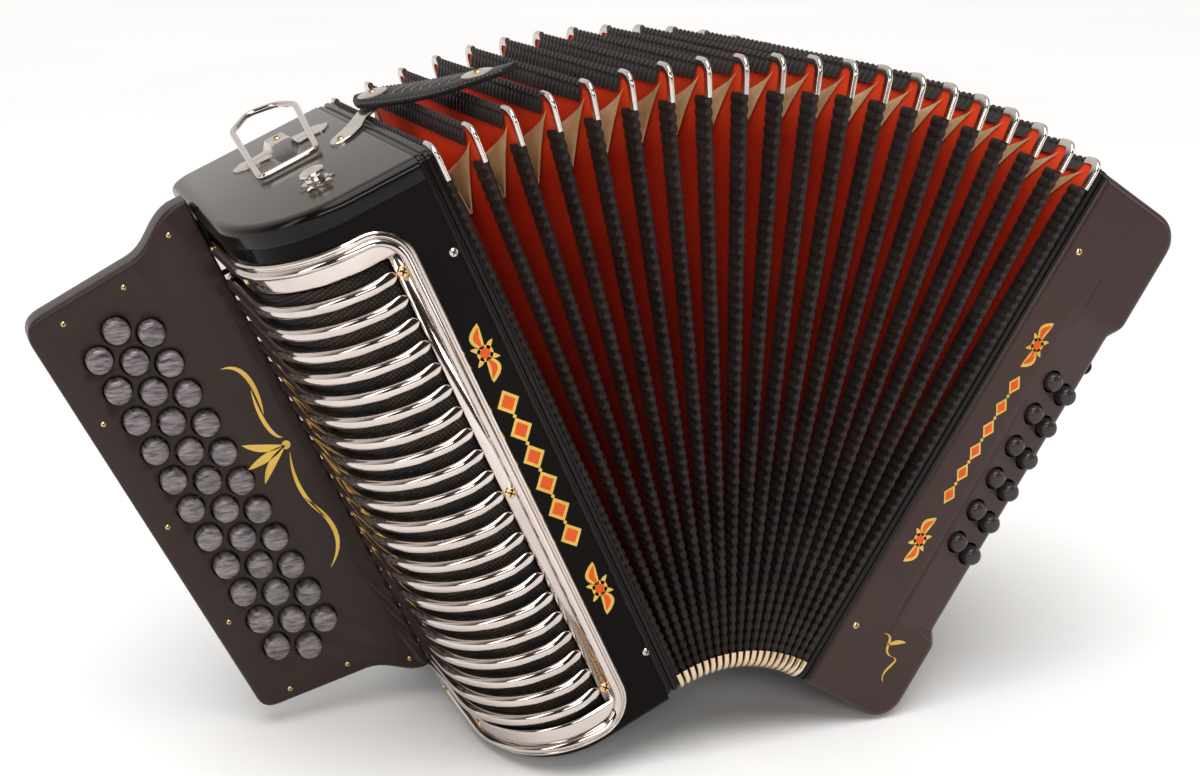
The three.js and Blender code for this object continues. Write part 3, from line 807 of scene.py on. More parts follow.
def treble_body():
    rings = [level(treble_plan(-inset), z) for z, inset in edge_levels(CASE_BOTTOM, WINDOW_BOTTOM, 3.5, 0.01)]
    rings += [level(treble_plan(0, GRILLE_RECESS), z) for z in (WINDOW_BOTTOM + 0.01, WINDOW_TOP - 0.01)]
    rings += [level(treble_plan(0), z) for z in (WINDOW_TOP, LID_BOTTOM + 0.4)]
    verts, faces = loft(rings)
    body = piece("treble_body", verts, faces, TREBLE, BLACK, "treble")
    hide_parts("treble_case")
    verts, faces = loft([level(treble_plan(LID_OVERHANG - inset, back=DEPTH + LID_BACK - inset), z)
                         for z, inset in edge_levels(LID_BOTTOM, CASE_TOP, 1.2, 5.0, 7)])
    piece("treble_lid", verts, faces, TREBLE, LID, "treble")


# ---------------------------------------------------------------- grille

def skin(run, z, out):
    """A point of the treble body's skin: run goes along the front, round the corner and back."""
    if run <= FRONT_RUN:
        return Vector((GRILLE_EDGE - run, -out, z))
    if run <= FRONT_RUN + ARC_RUN:
        a = math.pi / 2 * (run - FRONT_RUN) / ARC_RUN
        s, c = math.sin(a), math.cos(a)
        base = Vector((CASE_LEFT + CORNER_ACROSS * (1 - s), CORNER_DEEP * (1 - c), z))
        return base + Vector((-s * CORNER_DEEP, -c * CORNER_ACROSS, 0)).normalized() * out
    return Vector((CASE_LEFT - out, CORNER_DEEP + run - FRONT_RUN - ARC_RUN, z))


def skin_normal(run):
    return (skin(run, 0, 1) - skin(run, 0, 0)).normalized()


def louver(k, across=10):
    """One raised louver between two slots, with a rounded tip at the front edge."""
    middle = GRILLE_BOTTOM + SLOT_MARGIN + k * SLOT_PITCH
    half = SLOT_PITCH * (1 - SLOT_SHARE) / 2
    runs = [FLANGE - 1.5, FLANGE - 0.5] + [FLANGE + 0.9 * i for i in range(10)]
    runs += [FLANGE + 9 + 1.9 * i for i in range(1, 10)]
    start = runs[-1]
    runs += [start + (GRILLE_RUN - 1 - start) * i / 34 for i in range(1, 35)]
    rings = []
    for run in runs:
        tip = min(max((run - FLANGE) / 4.5, 0.0), 1.0)
        width = half * max(0.1, math.sqrt(1 - (1 - tip) ** 2))
        slope = min(max((run - FLANGE + 0.5) / 17, 0.0), 1.0)
        rise = LOUVER_RISE * math.sin(math.pi / 2 * slope)
        shares = [math.sin((-1 + 2 * j / across) * math.pi / 2) for j in range(across + 1)]
        rings.append([skin(run, middle + width * t, 0.3 + rise * (1 - abs(t) ** 2.4) ** 0.55)
                      for t in shares])
    return loft(rings, closed=False, caps=False)


def flange(inner, outer):
    """The flat band beyond the first or last slot, with a round corner under the rim."""
    runs = [RIM_CORNER * (1 - math.cos(a)) for a in quarter(8)]
    runs += [RIM_CORNER + (GRILLE_RUN - RIM_CORNER) * i / 44 for i in range(1, 45)]
    rings = []
    for run in runs:
        short = max(RIM_CORNER - run, 0.0)
        pull = RIM_CORNER - math.sqrt(RIM_CORNER ** 2 - short ** 2)
        edge = outer - math.copysign(pull, outer - inner)
        shares = [j / 6 for j in range(7)]
        rings.append([skin(run, between(inner, edge, t), 0.5 + 0.7 * math.sin(math.pi * t)) for t in shares])
    return loft(rings, closed=False, caps=False)


def back_lips():
    """Short bright strips where the louvers end against the fingerboard."""
    section = ((-0.2, 0.3), (0.1, 3.0), (0.5, 3.3), (0.9, 3.0), (0.9, 0.3))
    parts = []
    half = SLOT_PITCH * 0.38
    for k in range(SLOTS + 1):
        middle = GRILLE_BOTTOM + SLOT_MARGIN + k * SLOT_PITCH
        ends = (max(middle - half, GRILLE_BOTTOM + 1), min(middle + half, GRILLE_TOP - 1))
        parts.append(loft([[skin(GRILLE_RUN + along, z, out) for along, out in section] for z in ends]))
    return parts


def louvers():
    half_slot = SLOT_PITCH * SLOT_SHARE / 2
    low = GRILLE_BOTTOM + SLOT_MARGIN + SLOT_PITCH / 2 - half_slot
    high = GRILLE_TOP - SLOT_MARGIN - SLOT_PITCH / 2 + half_slot
    strip = [[skin(run, z, 0.5) for z in (low, high)] for run in (0.0, 3.0, FLANGE)]
    parts = [louver(k) for k in range(1, SLOTS)]
    parts.append(loft(strip, closed=False, caps=False))
    parts.append(flange(low, GRILLE_BOTTOM))
    parts.append(flange(high, GRILLE_TOP))
    verts, faces, _ = combine(parts)
    sheet = piece("grille_louvers", verts, faces, TREBLE, CHROME, "treble", sharp=50)
    thick = sheet.modifiers.new("sheet", "SOLIDIFY")
    thick.thickness = 0.8 * MM
    thick.offset = -1
    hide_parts("treble_grille")
    verts, faces, _ = combine(back_lips())
    piece("grille_back_lips", verts, faces, TREBLE, CHROME, "treble", sharp=50)


def grille_rim():
    """The double bead round the grille's front and its top and bottom edges, with its screws."""
    corner = RIM_CORNER
    z0, z1 = GRILLE_BOTTOM + 2.4, GRILLE_TOP - 2.4
    flat = [(GRILLE_RUN - (GRILLE_RUN - corner) * i / 44, z1) for i in range(44)]
    flat += [(corner * (1 - math.sin(a)), z1 - corner * (1 - math.cos(a))) for a in quarter(10)]
    flat += [(0.0, z1 - corner - (z1 - z0 - 2 * corner) * i / 12) for i in range(1, 12)]
    flat += [(corner * (1 - math.cos(a)), z0 + corner * (1 - math.sin(a))) for a in quarter(10)]
    flat += [(corner + (GRILLE_RUN - corner) * i / 44, z0) for i in range(1, 45)]
    path = [skin(run, z, 0.6) for run, z in flat]
    normals = [skin_normal(run) for run, _ in flat]
    profile = [(-4.2, -0.4), (-4.2, 0.6), (-3.5, 1.4), (-2.7, 1.5), (-2.1, 0.9), (-1.6, 0.9), (-1.1, 2.3),
               (-0.2, 3.3), (0.9, 3.6), (1.9, 3.1), (2.6, 1.9), (2.9, -0.4)]
    verts, faces = sweep(path, profile, normals)
    piece("grille_rim", verts, faces, TREBLE, CHROME, "treble", sharp=40)
    turn = FRONT_RUN + ARC_RUN * 0.92
    spots = [(4.6, z, 1.5) for z in (258.5, 140, 24)]
    spots += [(turn, z, 1.2) for z in (GRILLE_TOP - 7.5, GRILLE_BOTTOM + 8)]
    spots += [(GRILLE_RUN - 5, z, 3.2) for z in (GRILLE_TOP - 3, GRILLE_BOTTOM + 3)]
    places = [(skin(run, z, out), skin_normal(run)) for run, z, out in spots]
    screws("grille_screws", places, TREBLE, "treble", BRASS, radius=2.7)


def grille_net():
    runs = [8 + (GRILLE_RUN - 12) * i / 40 for i in range(41)]
    rings = [[skin(run, z, -2.2) for z in (GRILLE_BOTTOM + 5, GRILLE_TOP - 5)] for run in runs]
    rows = [[a + (b - a) * j / 6 for j in range(7)] for a, b in rings]
    verts, faces = loft(rows, closed=False, caps=False)
    net = piece("grille_net", verts, faces, TREBLE, NET, "treble")
    thick = net.modifiers.new("cloth", "SOLIDIFY")
    thick.thickness = 0.5 * MM


# ---------------------------------------------------------------- fingerboard

def bezier(a, b, c, d, steps=10):
    a, b, c, d = (Vector(p) for p in (a, b, c, d))
    return [a * (1 - t) ** 3 + b * 3 * t * (1 - t) ** 2 + c * 3 * t * t * (1 - t) + d * t ** 3
            for t in (i / steps for i in range(1, steps + 1))]


def board_outline():
    """Outline of the fingerboard as (x, z, inset of the front face)."""
    inner = CASE_LEFT - 2.4
    points = [Vector((inner, 20)), Vector((-99, 20))]
    points += bezier(points[-1], (-110, 23), (-113, 34), (-126, 37))
    points.append(Vector((-174, 45.5)))
    points += bezier(points[-1], (-179, 46.5), (-181.7, 49), (-182, 54), 6)
    side = [Vector((-182 - 7.8 * i / 8, 54 + 220 * i / 8)) for i in range(1, 9)]
    points += side
    points += bezier(points[-1], (-189.8, 281.5), (-186.5, 285.5), (-179, 286), 8)
    points.append(Vector((-131, 289)))
    points += bezier(points[-1], (-119, 290), (-115, 301), (-102, 303))
    points.append(Vector((inner, 303)))
    return points, [2.0 + 4.0 * (p.y - 54) / 220 if p in side else 2.0 for p in points]


def shifted(ring, insets):
    """Moves each point of a closed clockwise or anticlockwise ring towards its inside."""
    area = sum(a.x * b.y - b.x * a.y for a, b in zip(ring, ring[1:] + ring[:1]))
    turn = 1 if area > 0 else -1
    moved = []
    for i, point in enumerate(ring):
        before = (point - ring[i - 1]).normalized()
        after = (ring[(i + 1) % len(ring)] - point).normalized()
        a, b = Vector((-before.y, before.x)) * turn, Vector((-after.y, after.x)) * turn
        inward = (a + b).normalized()
        moved.append(point + inward * insets[i] / max(0.4, inward.dot(a)))
    return moved


def hole_ring(hole, grow=0.0):
    """Points round a (x, z, radius) hole."""
    x, z, radius = hole
    return arc(x, z, radius + grow, 360, 360 / HOLE_SIDES, HOLE_SIDES - 1)


def slab(outline, insets, holes, front, back, drop):
    """A plate between two depths, its front edge bevelled by insets, pierced by round holes."""
    rings = []
    for a in quarter(4):
        ring = shifted(outline, [inset * (1 - math.sin(a)) for inset in insets])
        rings.append([Vector((p.x, front + drop * (1 - math.cos(a)), p.y)) for p in ring])
    rings.append([Vector((p.x, back - 1.0, p.y)) for p in outline])
    rings.append([Vector((p.x, back, p.y)) for p in shifted(outline, [1.0] * len(outline))])
    parts = [loft(rings, caps=False)]
    for border, depth, grow in ((rings[0], front, 0.5), (rings[-1], back, 0.0)):
        loops = [[Vector((p.x, p.z, 0)) for p in border]]
        loops += [level(hole_ring(hole, grow), 0) for hole in holes]
        flat = [p for loop in loops for p in loop]
        faces = [tuple(face) for face in tessellate_polygon(loops)]
        parts.append(([Vector((p.x, depth, p.y)) for p in flat], faces))
    for hole in holes:
        steps = ((0.5, front), (0.1, front + 0.2), (0, front + 0.6), (0, back))
        wall = [[Vector((x, y, z)) for x, z in hole_ring(hole, grow)] for grow, y in steps]
        parts.append(loft(wall, caps=False))
    return combine(parts)[:2]


def button_nodes(prefix):
    return [n for n in frame["nodes"] if n.startswith(prefix)]


def local(place, point):
    return place.inverted() @ Vector(point)


def fingerboard():
    back = BOARD_FRONT + BOARD_THICK
    centres = [local(TREBLE, node_centre(name)) for name in button_nodes("treble_button")]
    holes = [(c.x, c.z, 7.1) for c in centres]
    outline, insets = board_outline()
    verts, faces = slab(outline, insets, holes, BOARD_FRONT, back, 2.2)
    board = piece("fingerboard", verts, faces, TREBLE, BOARD, "treble", sharp=30)
    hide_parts("treble_fingerboard")
    # black discs behind the bores: painted shade where the holes look into the case
    shade_discs = [plug(7.6, 0, 0.8, (c.x, back + 3.2, c.z), (0, 1, 0), 28) for c in centres]
    verts, faces, _ = combine(shade_discs)
    piece("button_shade_discs", verts, faces, TREBLE, HOLE_SHADE, "treble")
    # a dark strip filling the gap beside the board: painted shade in the gap
    gap_shade = rounded_rect(CASE_LEFT - 2.2, CASE_LEFT - 0.05, BOARD_FRONT + 1.5, back - 1, 0.8)
    verts, faces = loft([level(gap_shade, z) for z in (21.0, LID_BOTTOM - 0.3)])
    piece("board_gap_shade", verts, faces, TREBLE, RUBBER_AND_GAP_SHADE, "treble")
    places = [((x, BOARD_FRONT, z), (0, -1, 0)) for x, z in BOARD_SCREWS]
    screws("board_screws", places, TREBLE, "treble", BRASS, radius=1.5)


def button_row(prefix, label, profile, place, finish, steps):
    """Turned buttons in place of the nodes whose names start with prefix."""
    for name in button_nodes(prefix):
        low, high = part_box(name)
        back = local(place, ((low[0] + high[0]) / 2, high[1], (low[2] + high[2]) / 2))
        verts, faces = lathe(profile, back, (0, -1, 0), steps)
        button = piece(name.replace(prefix, label), verts, faces, place, finish, name, sharp=60)
        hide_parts(name)


def buttons():
    profile = [(0.01, 0), (5.6, 0), (6.2, 0.6), (6.3, 2), (6.3, 16.6), (6.1, 17.6), (5.5, 18.3), (4.4, 18.7),
               (2.4, 18.9), (0.01, 19.0)]
    button_row("treble_button", "melody", profile, TREBLE, PEARL, 40)


# ---------------------------------------------------------------- bass case

def scoop_depth(x, z):
    """How far the bass front is dished at (x, z)."""
    ends = smooth((z - SCOOP_BOTTOM) / 10) * smooth((SCOOP_TOP - z) / 10)
    side = max(0.0, x - SCOOP_START - 12 * (1 - ends))
    return ends * side * side / (side + 2.0) * SCOOP_SLOPE


def bass_ring(inset, y):
    """One closed ring of the bass body, inset from its outline."""
    x0, x1, z0, z1 = FRAME_WIDTH - 1, BASS_WIDTH, BASS_BOTTOM, BASS_TOP
    reach = (x1 - x0) / 2 - inset
    outer, inner = min(max(BASS_CORNER - inset, 1.5), reach * 0.9), min(max(4 - inset, 1.0), reach * 0.9)
    corners = ((x1 - inset - outer, z0 + inset + outer, -90, outer),
               (x1 - inset - outer, z1 - inset - outer, 0, outer),
               (x0 + inset + inner, z1 - inset - inner, 90, inner),
               (x0 + inset + inner, z0 + inset + inner, 180, inner))
    arcs = [arc(cx, cz, radius, start, start + 90, 8) for cx, cz, start, radius in corners]
    points = []
    for k, bend in enumerate(arcs):
        points += bend
        (ax, az), (bx, bz) = bend[-1], arcs[(k + 1) % 4][0]
        count = 130 if k in (0, 2) else 10
        points += [(ax + (bx - ax) * i / count, az + (bz - az) * i / count) for i in range(1, count)]
    return [Vector((x, y + (scoop_depth(x, z) if y < DEPTH / 2 else 0), z)) for x, z in points]


def bass_shell():
    """The closed body of the bass end, its front face drawn ring by ring so that the scoop is smooth."""
    inset = (BASS_WIDTH - FRAME_WIDTH + 1) / 2 - 1
    rings = []
    while inset > BASS_FRONT_EDGE:
        rings.append(bass_ring(inset, 0))
        inset -= 1.1
    for a in quarter(7):
        rings.append(bass_ring(BASS_FRONT_EDGE * (1 - math.sin(a)), BASS_FRONT_EDGE * (1 - math.cos(a))))
    rings += [bass_ring(0, 30), bass_ring(0, 120)]
    for a in reversed(quarter(7)):
        depth = DEPTH - BASS_BACK_EDGE * (1 - math.cos(a))
        rings.append(bass_ring(BASS_BACK_EDGE * (1 - math.sin(a)), depth))
    return loft(rings)


def bass_body():
    verts, faces = bass_shell()
    body = piece("bass_body", verts, faces, BASS, BROWN, sharp=35)
    centres = [local(BASS, node_centre(name)) for name in button_nodes("bass_button")]
    bores = [plug(6.3, -20, 32, (c.x, 0, c.z), (0, 1, 0)) for c in centres]
    air = local(BASS, node_centre("air_button"))
    bores.append(plug(7.0, -18, 12, (BASS_WIDTH, air.y, air.z), (1, 0, 0)))
    verts, faces, _ = combine(bores)
    pierce(body, piece("bass_bores", verts, faces, BASS, HOLE_SHADE))
    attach(body, "bass")
    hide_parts("bass_case")
    dome = [(0.01, -1), (4.2, -1), (4.2, 1.2), (3.4, 2.4), (1.8, 3.0), (0.01, 3.1)]
    verts, faces, _ = combine([lathe(dome, (BASS_WIDTH, 14, z), (1, 0, 0), 28) for z in (213, 29)])
    piece("bass_edge_knobs", verts, faces, BASS, RUBBER_AND_GAP_SHADE, "bass")
    places = [((18, 0, 258), (0, -1, 0)), ((17.6, 0, 36.6), (0, -1, 0))]
    screws("bass_screws", places, BASS, "bass", BRASS, radius=1.9)


def pierce(body, tool):
    """Cuts the tool out of the body and keeps the result as the body's own mesh."""
    for obj in (body, tool):
        shell = bmesh.new()
        shell.from_mesh(obj.data)
        bmesh.ops.recalc_face_normals(shell, faces=shell.faces)
        shell.to_mesh(obj.data)
        shell.free()
    boolean = body.modifiers.new("holes", "BOOLEAN")
    boolean.object = tool
    boolean.operation = "DIFFERENCE"
    boolean.solver = "MANIFOLD"
    bpy.context.view_layer.update()
    result = bpy.data.meshes.new_from_object(body.evaluated_get(bpy.context.evaluated_depsgraph_get()))
    body.modifiers.clear()
    body.data = result
    bpy.data.objects.remove(tool)
    result.polygons.foreach_set("use_smooth", [True] * len(result.polygons))
    result.set_sharp_from_angle(angle=math.radians(35))


def bass_buttons():
    profile = [(0.01, 0), (4.6, 0), (5.0, 0.5), (5.0, 14.5), (4.8, 16.2), (4.1, 17.3), (2.8, 17.85),
               (0.01, 18.0)]
    button_row("bass_button", "chord", profile, BASS, DARK_BUTTON, 32)


# ---------------------------------------------------------------- ornaments

def leaf(start, stop, width, bend=0.0, steps=8):
    """A pointed leaf between two (x, z) points, curved sideways by bend."""
    start, stop = Vector(start), Vector(stop)
    across = Vector((start.y - stop.y, stop.x - start.x)).normalized()
    right, left = [], []
    for i in range(steps + 1):
        t = i / steps
        spine = between(start, stop, t) + across * bend * math.sin(math.pi * t)
        half = width / 2 * math.sin(math.pi * t) ** 0.8
        right.append(spine + across * half)
        left.append(spine - across * half)
    return right + left[-2:0:-1]


def stroke(points, widths):
    """A tapered line through (x, z) points."""
    points = [Vector(p) for p in points]
    right, left = [], []
    for i, p in enumerate(points):
        along = points[min(i + 1, len(points) - 1)] - points[max(i - 1, 0)]
        across = Vector((-along.y, along.x)).normalized() * widths[i] / 2
        right.append(p + across)
        left.append(p - across)
    return right + left[::-1]


def swoosh(a, b, c, d, width, steps=20):
    points = [Vector(a)] + bezier(a, b, c, d, steps)
    widths = [max(0.15, width * math.sin(math.pi * i / steps) ** 0.7) for i in range(steps + 1)]
    return stroke(points, widths)


def disc(x, z, radius, steps=20):
    return [Vector(p) for p in arc(x, z, radius, 0, 360 - 360 / steps, steps - 1)]


def lozenge(x, z, long, wide):
    corners = ((0, -long / 2), (wide / 2, 0), (0, long / 2), (-wide / 2, 0))
    return [Vector((x + dx, z + dz)) for dx, dz in corners]


def inlay(name, shapes, front, height, place, material, body):
    """Flat raised shapes on a front face, each drawn in (x, z)."""
    parts = []
    for shape in shapes:
        flat = [Vector((p.x, p.y, 0)) for p in shape]
        top = [Vector((p.x, front - height, p.y)) for p in shape]
        low = [Vector((p.x, front + 0.1, p.y)) for p in shape]
        parts.append(loft([low, top], caps=False))
        parts.append((top, [tuple(f) for f in tessellate_polygon([flat])]))
    verts, faces, _ = combine(parts)
    return piece(name, verts, faces, place, material, body)


def flower(x, z, size):
    """A round boss between two long curved leaves and four short ones, as (border, filling) shapes."""
    border, filling = [], []
    for turn in (1, -1):
        tip = (x + 0.15 * size * turn, z + size * turn)
        border.append(leaf((x, z + 0.1 * size * turn), tip, 0.42 * size, 0.16 * size))
        filling.append(leaf((x, z + 0.2 * size * turn), (x + 0.13 * size * turn, z + 0.86 * size * turn),
                            0.2 * size, 0.14 * size))
        for side in (1, -1):
            end = (x + 0.4 * size * side, z + 0.32 * size * turn)
            border.append(leaf((x + 0.1 * size * side, z), end, 0.16 * size, 0.05 * size * side * turn))
    border.append(disc(x, z, 0.27 * size))
    filling.append(disc(x, z, 0.17 * size))
    return border, filling


def chain(x, low, high, count, long, wide):
    """A row of lozenges with dots between them, as (border, filling) shapes."""
    border, filling = [], []
    for i in range(count):
        z = low + (high - low) * (i + 0.5) / count
        border.append(lozenge(x, z, long, wide))
        filling.append(lozenge(x, z, long * 0.66, wide * 0.66))
        if i:
            border.append(disc(x, z - (high - low) / count / 2, 0.9))
    return border, filling


def front_inlays(body, groups, place):
    """The gold borders and orange fillings of one end's front."""
    border = [shape for outline, _ in groups for shape in outline]
    filling = [shape for _, inside in groups for shape in inside]
    inlay(f"{body}_gold_inlay", border, 0, 0.16, place, GOLD, body)
    inlay(f"{body}_orange_inlay", filling, 0, 0.3, place, ORANGE, body)


def ornaments():
    treble = [flower(-18.0, 206, 14.5), chain(-18.2, 97, 187, 6, 13.4, 11.5), flower(-16.8, 72, 14.5)]
    bass = [flower(25.4, 207, 14.0), chain(26.0, 112, 190, 6, 11.0, 7.5), flower(24.6, 91, 14.0)]
    front_inlays("treble", treble, TREBLE)
    front_inlays("bass", bass, BASS)
    scrolls = [swoosh((-118, 221), (-106, 219), (-107, 203), (-110, 190), 2.3),
               swoosh((-110, 204), (-113, 190), (-112, 176), (-107, 174.5), 2.0),
               swoosh((-107.5, 165.5), (-114, 150), (-112, 136), (-106.5, 124), 2.0),
               swoosh((-112, 140), (-104, 122), (-103, 108), (-117, 99), 2.3),
               leaf((-108, 170), (-127, 181), 4.0, 1.5), leaf((-108, 170), (-130, 168), 4.4, 0.0),
               leaf((-108, 170), (-126, 157), 4.0, -1.5), disc(-107.5, 170, 2.3)]
    inlay("fingerboard_scrolls", scrolls, BOARD_FRONT, 0.18, TREBLE, GOLD, "treble")
    flourish = [swoosh((36, 40), (45, 42), (38, 30), (48, 31), 1.6),
                swoosh((48, 31), (56, 32), (44, 22), (51, 17), 1.3),
                leaf((41, 35), (51, 41), 2.4, 0.8)]
    inlay("bass_flourish", flourish, 0, 0.18, BASS, GOLD, "bass")


# ---------------------------------------------------------------- fittings

def rounded_path(corners, radius, steps=6):
    """A closed path through corner points with each corner rounded off."""
    path = []
    for i, corner in enumerate(corners):
        before, after = corners[i - 1], corners[(i + 1) % len(corners)]
        reach = min(radius, (before - corner).length * 0.45, (after - corner).length * 0.45)
        a = corner + (before - corner).normalized() * reach
        b = corner + (after - corner).normalized() * reach
        for k in range(steps + 1):
            t = k / steps
            path.append(a * (1 - t) ** 2 + corner * 2 * t * (1 - t) + b * t * t)
    return path


def strap_ring():
    """The wire loop for a shoulder strap, tilted a little out of the lid's plane."""
    outline = ((-21, -44), (9, -43), (20, 28), (13, 41), (-1, 47), (-14, 33))
    c, s = math.cos(RING_TILT), math.sin(RING_TILT)
    corners = [Vector((RING_X + x, RING_Y + y * c, RING_HEIGHT + y * s)) for x, y in outline]
    path = rounded_path(corners, 4.5)
    up = [Vector((0, -s, c))] * len(path)
    verts, faces = sweep(path, round_profile(1.6, 14), up, closed=True)
    ring = piece("ring_wire", verts, faces, TREBLE, CHROME, "strap_ring", sharp=60)
    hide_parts("strap_ring")


def ring_saddle():
    """A formed strip with pointed feet on the lid and a raised middle, held by a rivet."""
    half, floor, rise, thick, steps = 26.0, CASE_TOP + 0.1, 4.6, 0.9, 44
    section = ((-1, 0), (1, 0), (1, 0.7), (0.86, 1), (-0.86, 1), (-1, 0.7))
    rings = []
    for i in range(steps + 1):
        t = -1 + 2 * i / steps
        lift = floor + rise * smooth((8 - abs(t) * half) / 4)
        width = 9.0 * min(1.0, ((1 - abs(t)) / 0.2) ** 0.7) - 1.2 * smooth(1 - abs(abs(t) - 0.55) / 0.25)
        wide = max(width, 0.25)
        rings.append([Vector((RING_X + half * t, RING_Y + side * wide, lift + thick * h))
                      for side, h in section])
    verts, faces = loft(rings)
    plate = piece("saddle_plate", verts, faces, TREBLE, NICKEL, "treble", sharp=35)
    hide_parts("ring_saddle")
    top = Vector((RING_X, RING_Y, floor + rise + thick))
    screws("saddle_rivet", [(top, (0, 0, 1))], TREBLE, "treble", BRASS)


def snap_stud():
    """The post that the closing strap snaps onto, on its star washer."""
    centre = Vector((-46.5, 36, CASE_TOP))
    outline = []
    for i in range(16):
        a = 2 * math.pi * i / 16
        radius = 9.0 if i % 2 == 0 else 5.6
        outline.append(Vector((radius * math.cos(a), radius * math.sin(a), 0)))
    layers = ((1, 0), (1, 0.7), (0.75, 1.6))
    verts, faces = loft([[centre + p * scale + Vector((0, 0, rise)) for p in outline]
                         for scale, rise in layers])
    piece("stud_washer", verts, faces, TREBLE, NICKEL, "treble", sharp=30)
    profile = [(0.01, 1.0), (6.2, 1.0), (6.2, 2.0), (4.8, 2.5), (4.4, 3.8), (5.7, 4.6), (6.2, 5.5),
               (5.9, 6.4), (4.8, 7.0), (2.7, 7.2), (2.0, 6.8), (0.01, 6.7)]
    verts, faces = lathe(profile, centre, (0, 0, 1), 36)
    piece("stud_post", verts, faces, TREBLE, NICKEL, "treble", sharp=40)


def strap_clip():
    """A bent plate screwed to the lid that carries the closing strap's pivot."""
    start, stop = Vector((-24.5, 80.5, CASE_TOP + 0.15)), Vector((9, 111, CASE_TOP + 1.2))
    along = Vector((stop.x - start.x, stop.y - start.y, 0)).normalized()
    across = Vector((-along.y, along.x, 0))
    section = ((-1, 0, 0), (1, 0, 0), (1, 0, 0.9), (1, -0.4, 1.2), (-1, 0.4, 1.2), (-1, 0, 0.9))
    rings = []
    for i in range(29):
        t = i / 28
        spot = between(start, stop, t) + Vector((0, 0, smooth((t - 0.35) / 0.25)))
        width = 6.5 * min(1.0, (t / 0.16 + 0.05) ** 0.5) * (1 - 0.25 * smooth(1 - abs(t - 0.55) / 0.25))
        rings.append([spot + across * (side * width + trim) + Vector((0, 0, rise))
                      for side, trim, rise in section])
    verts, faces = loft(rings)
    piece("strap_clip", verts, faces, TREBLE, NICKEL, "treble", sharp=35)
    screws("clip_screw", [((-20.2, 84.4, CASE_TOP + 1.3), (0, 0, 1))], TREBLE, "treble", BRASS, radius=2.1)


def strap_point(along, across, lift):
    """A point of the closing strap, from its pivot in the plane of the lid."""
    c, n = math.cos(STRAP_ANGLE), math.sin(STRAP_ANGLE)
    return STRAP_PIVOT + Vector((along * c - across * n, along * n + across * c, lift))


def strap_share(along):
    """How far along the closing strap a place is: 0 at its round tail, 1 at its pointed tip."""
    return (along - STRAP_TAIL) / (STRAP_TIP - STRAP_TAIL)


def strap_width(t):
    """Half width of the closing strap."""
    tail = min(1.0, (t / 0.1) ** 0.5)
    taper = 1 - 0.55 * smooth((t - 0.55) / 0.45)
    tip = min(1.0, ((1 - t) / 0.07) ** 0.5)
    return 11.0 * tail * taper * tip * (0.86 + 0.14 * math.sin(math.pi * min(t / 0.8, 1)))


def strap_lift(t):
    return 2.6 * (2 * t - 0.75) ** 2


def closing_strap():
    """The leather of the closing strap, with a groove beside each edge."""
    edge = ((0.4, 1.0), (0.8, 0.86), (0.86, 0.66), (0.93, 0.72), (1.0, 0.62), (1.02, 0.35), (1, 0.0),
            (0.6, -0.1))
    section = [(-side, rise) for side, rise in edge[::-1]] + list(edge)
    steps = 60
    rings = []
    for i in range(steps + 1):
        t = 0.5 - 0.5 * math.cos(math.pi * i / steps)
        wide = max(strap_width(t), 0.3)
        along = between(STRAP_TAIL, STRAP_TIP, t)
        rings.append([strap_point(along, side * wide, strap_lift(t) + rise * STRAP_THICK)
                      for side, rise in section])
    verts, faces = loft(rings)
    strap = piece("closing_strap", verts, faces, TREBLE, HIDE, "bellows_strap", sharp=50)
    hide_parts("bellows_strap")
    strap_stitches()
    strap_plates()
    strap_tooling()


def strap_stitches():
    stitches = []
    for side in (-1, 1):
        for i in range(2, 40):
            t = i / 42
            along = between(STRAP_TAIL, STRAP_TIP, t)
            wide = strap_width(t) * 0.9 * side
            turn = strap_width(t + 0.012) * 0.9 * side - wide
            lift = strap_lift(t) + STRAP_THICK * 0.74
            path = [strap_point(along + 1.5 * k, wide + turn * k, lift + 0.2 * math.sin(math.pi * k))
                    for k in (0, 0.5, 1)]
            stitches.append(sweep(path, round_profile(0.28, 6), [Vector((0, 0, 1))] * 3))
    verts, faces, _ = combine(stitches)
    piece("closing_strap_stitches", verts, faces, TREBLE, THREAD, "bellows_strap", sharp=70)


def strap_plates():
    """The two oval plates of the closing strap, each with a rivet."""
    turns = [2 * math.pi * k / 32 for k in range(32)]
    plates, tops = [], []
    for along, long, wide in ((0.0, 9.5, 6.0), (74.0, 10.0, 5.0)):
        face = strap_lift(strap_share(along)) + STRAP_THICK
        layers = ((1, -0.45), (1, 0.35), (0.9, 0.75), (0.5, 1.15), (0.02, 1.25))
        oval = [(long * math.cos(a), wide * math.sin(a)) for a in turns]
        plates.append(loft([[strap_point(along + x * scale, y * scale, face + rise) for x, y in oval]
                            for scale, rise in layers]))
        tops.append((strap_point(along, 0, face + 1.0), (0, 0, 1)))
    verts, faces, _ = combine(plates)
    piece("closing_strap_plates", verts, faces, TREBLE, NICKEL, "bellows_strap", sharp=50)
    screws("closing_strap_rivets", tops, TREBLE, "bellows_strap", BRASS, radius=2.4)


def strap_tooling():
    """A row of chevrons pressed into the closing strap."""
    chevrons = []
    for i in range(7):
        along = 17 + i * 6.5
        lift = strap_lift(strap_share(along)) + STRAP_THICK
        path = [strap_point(along + 3 * abs(k) - 1.5, 4.2 * k, lift) for k in (-1, -0.5, 0, 0.5, 1)]
        chevrons.append(sweep(path, round_profile(0.45, 8), [Vector((0, 0, 1))] * 5))
    verts, faces, _ = combine(chevrons)
    piece("closing_strap_tooling", verts, faces, TREBLE, THREAD, "bellows_strap", sharp=70)


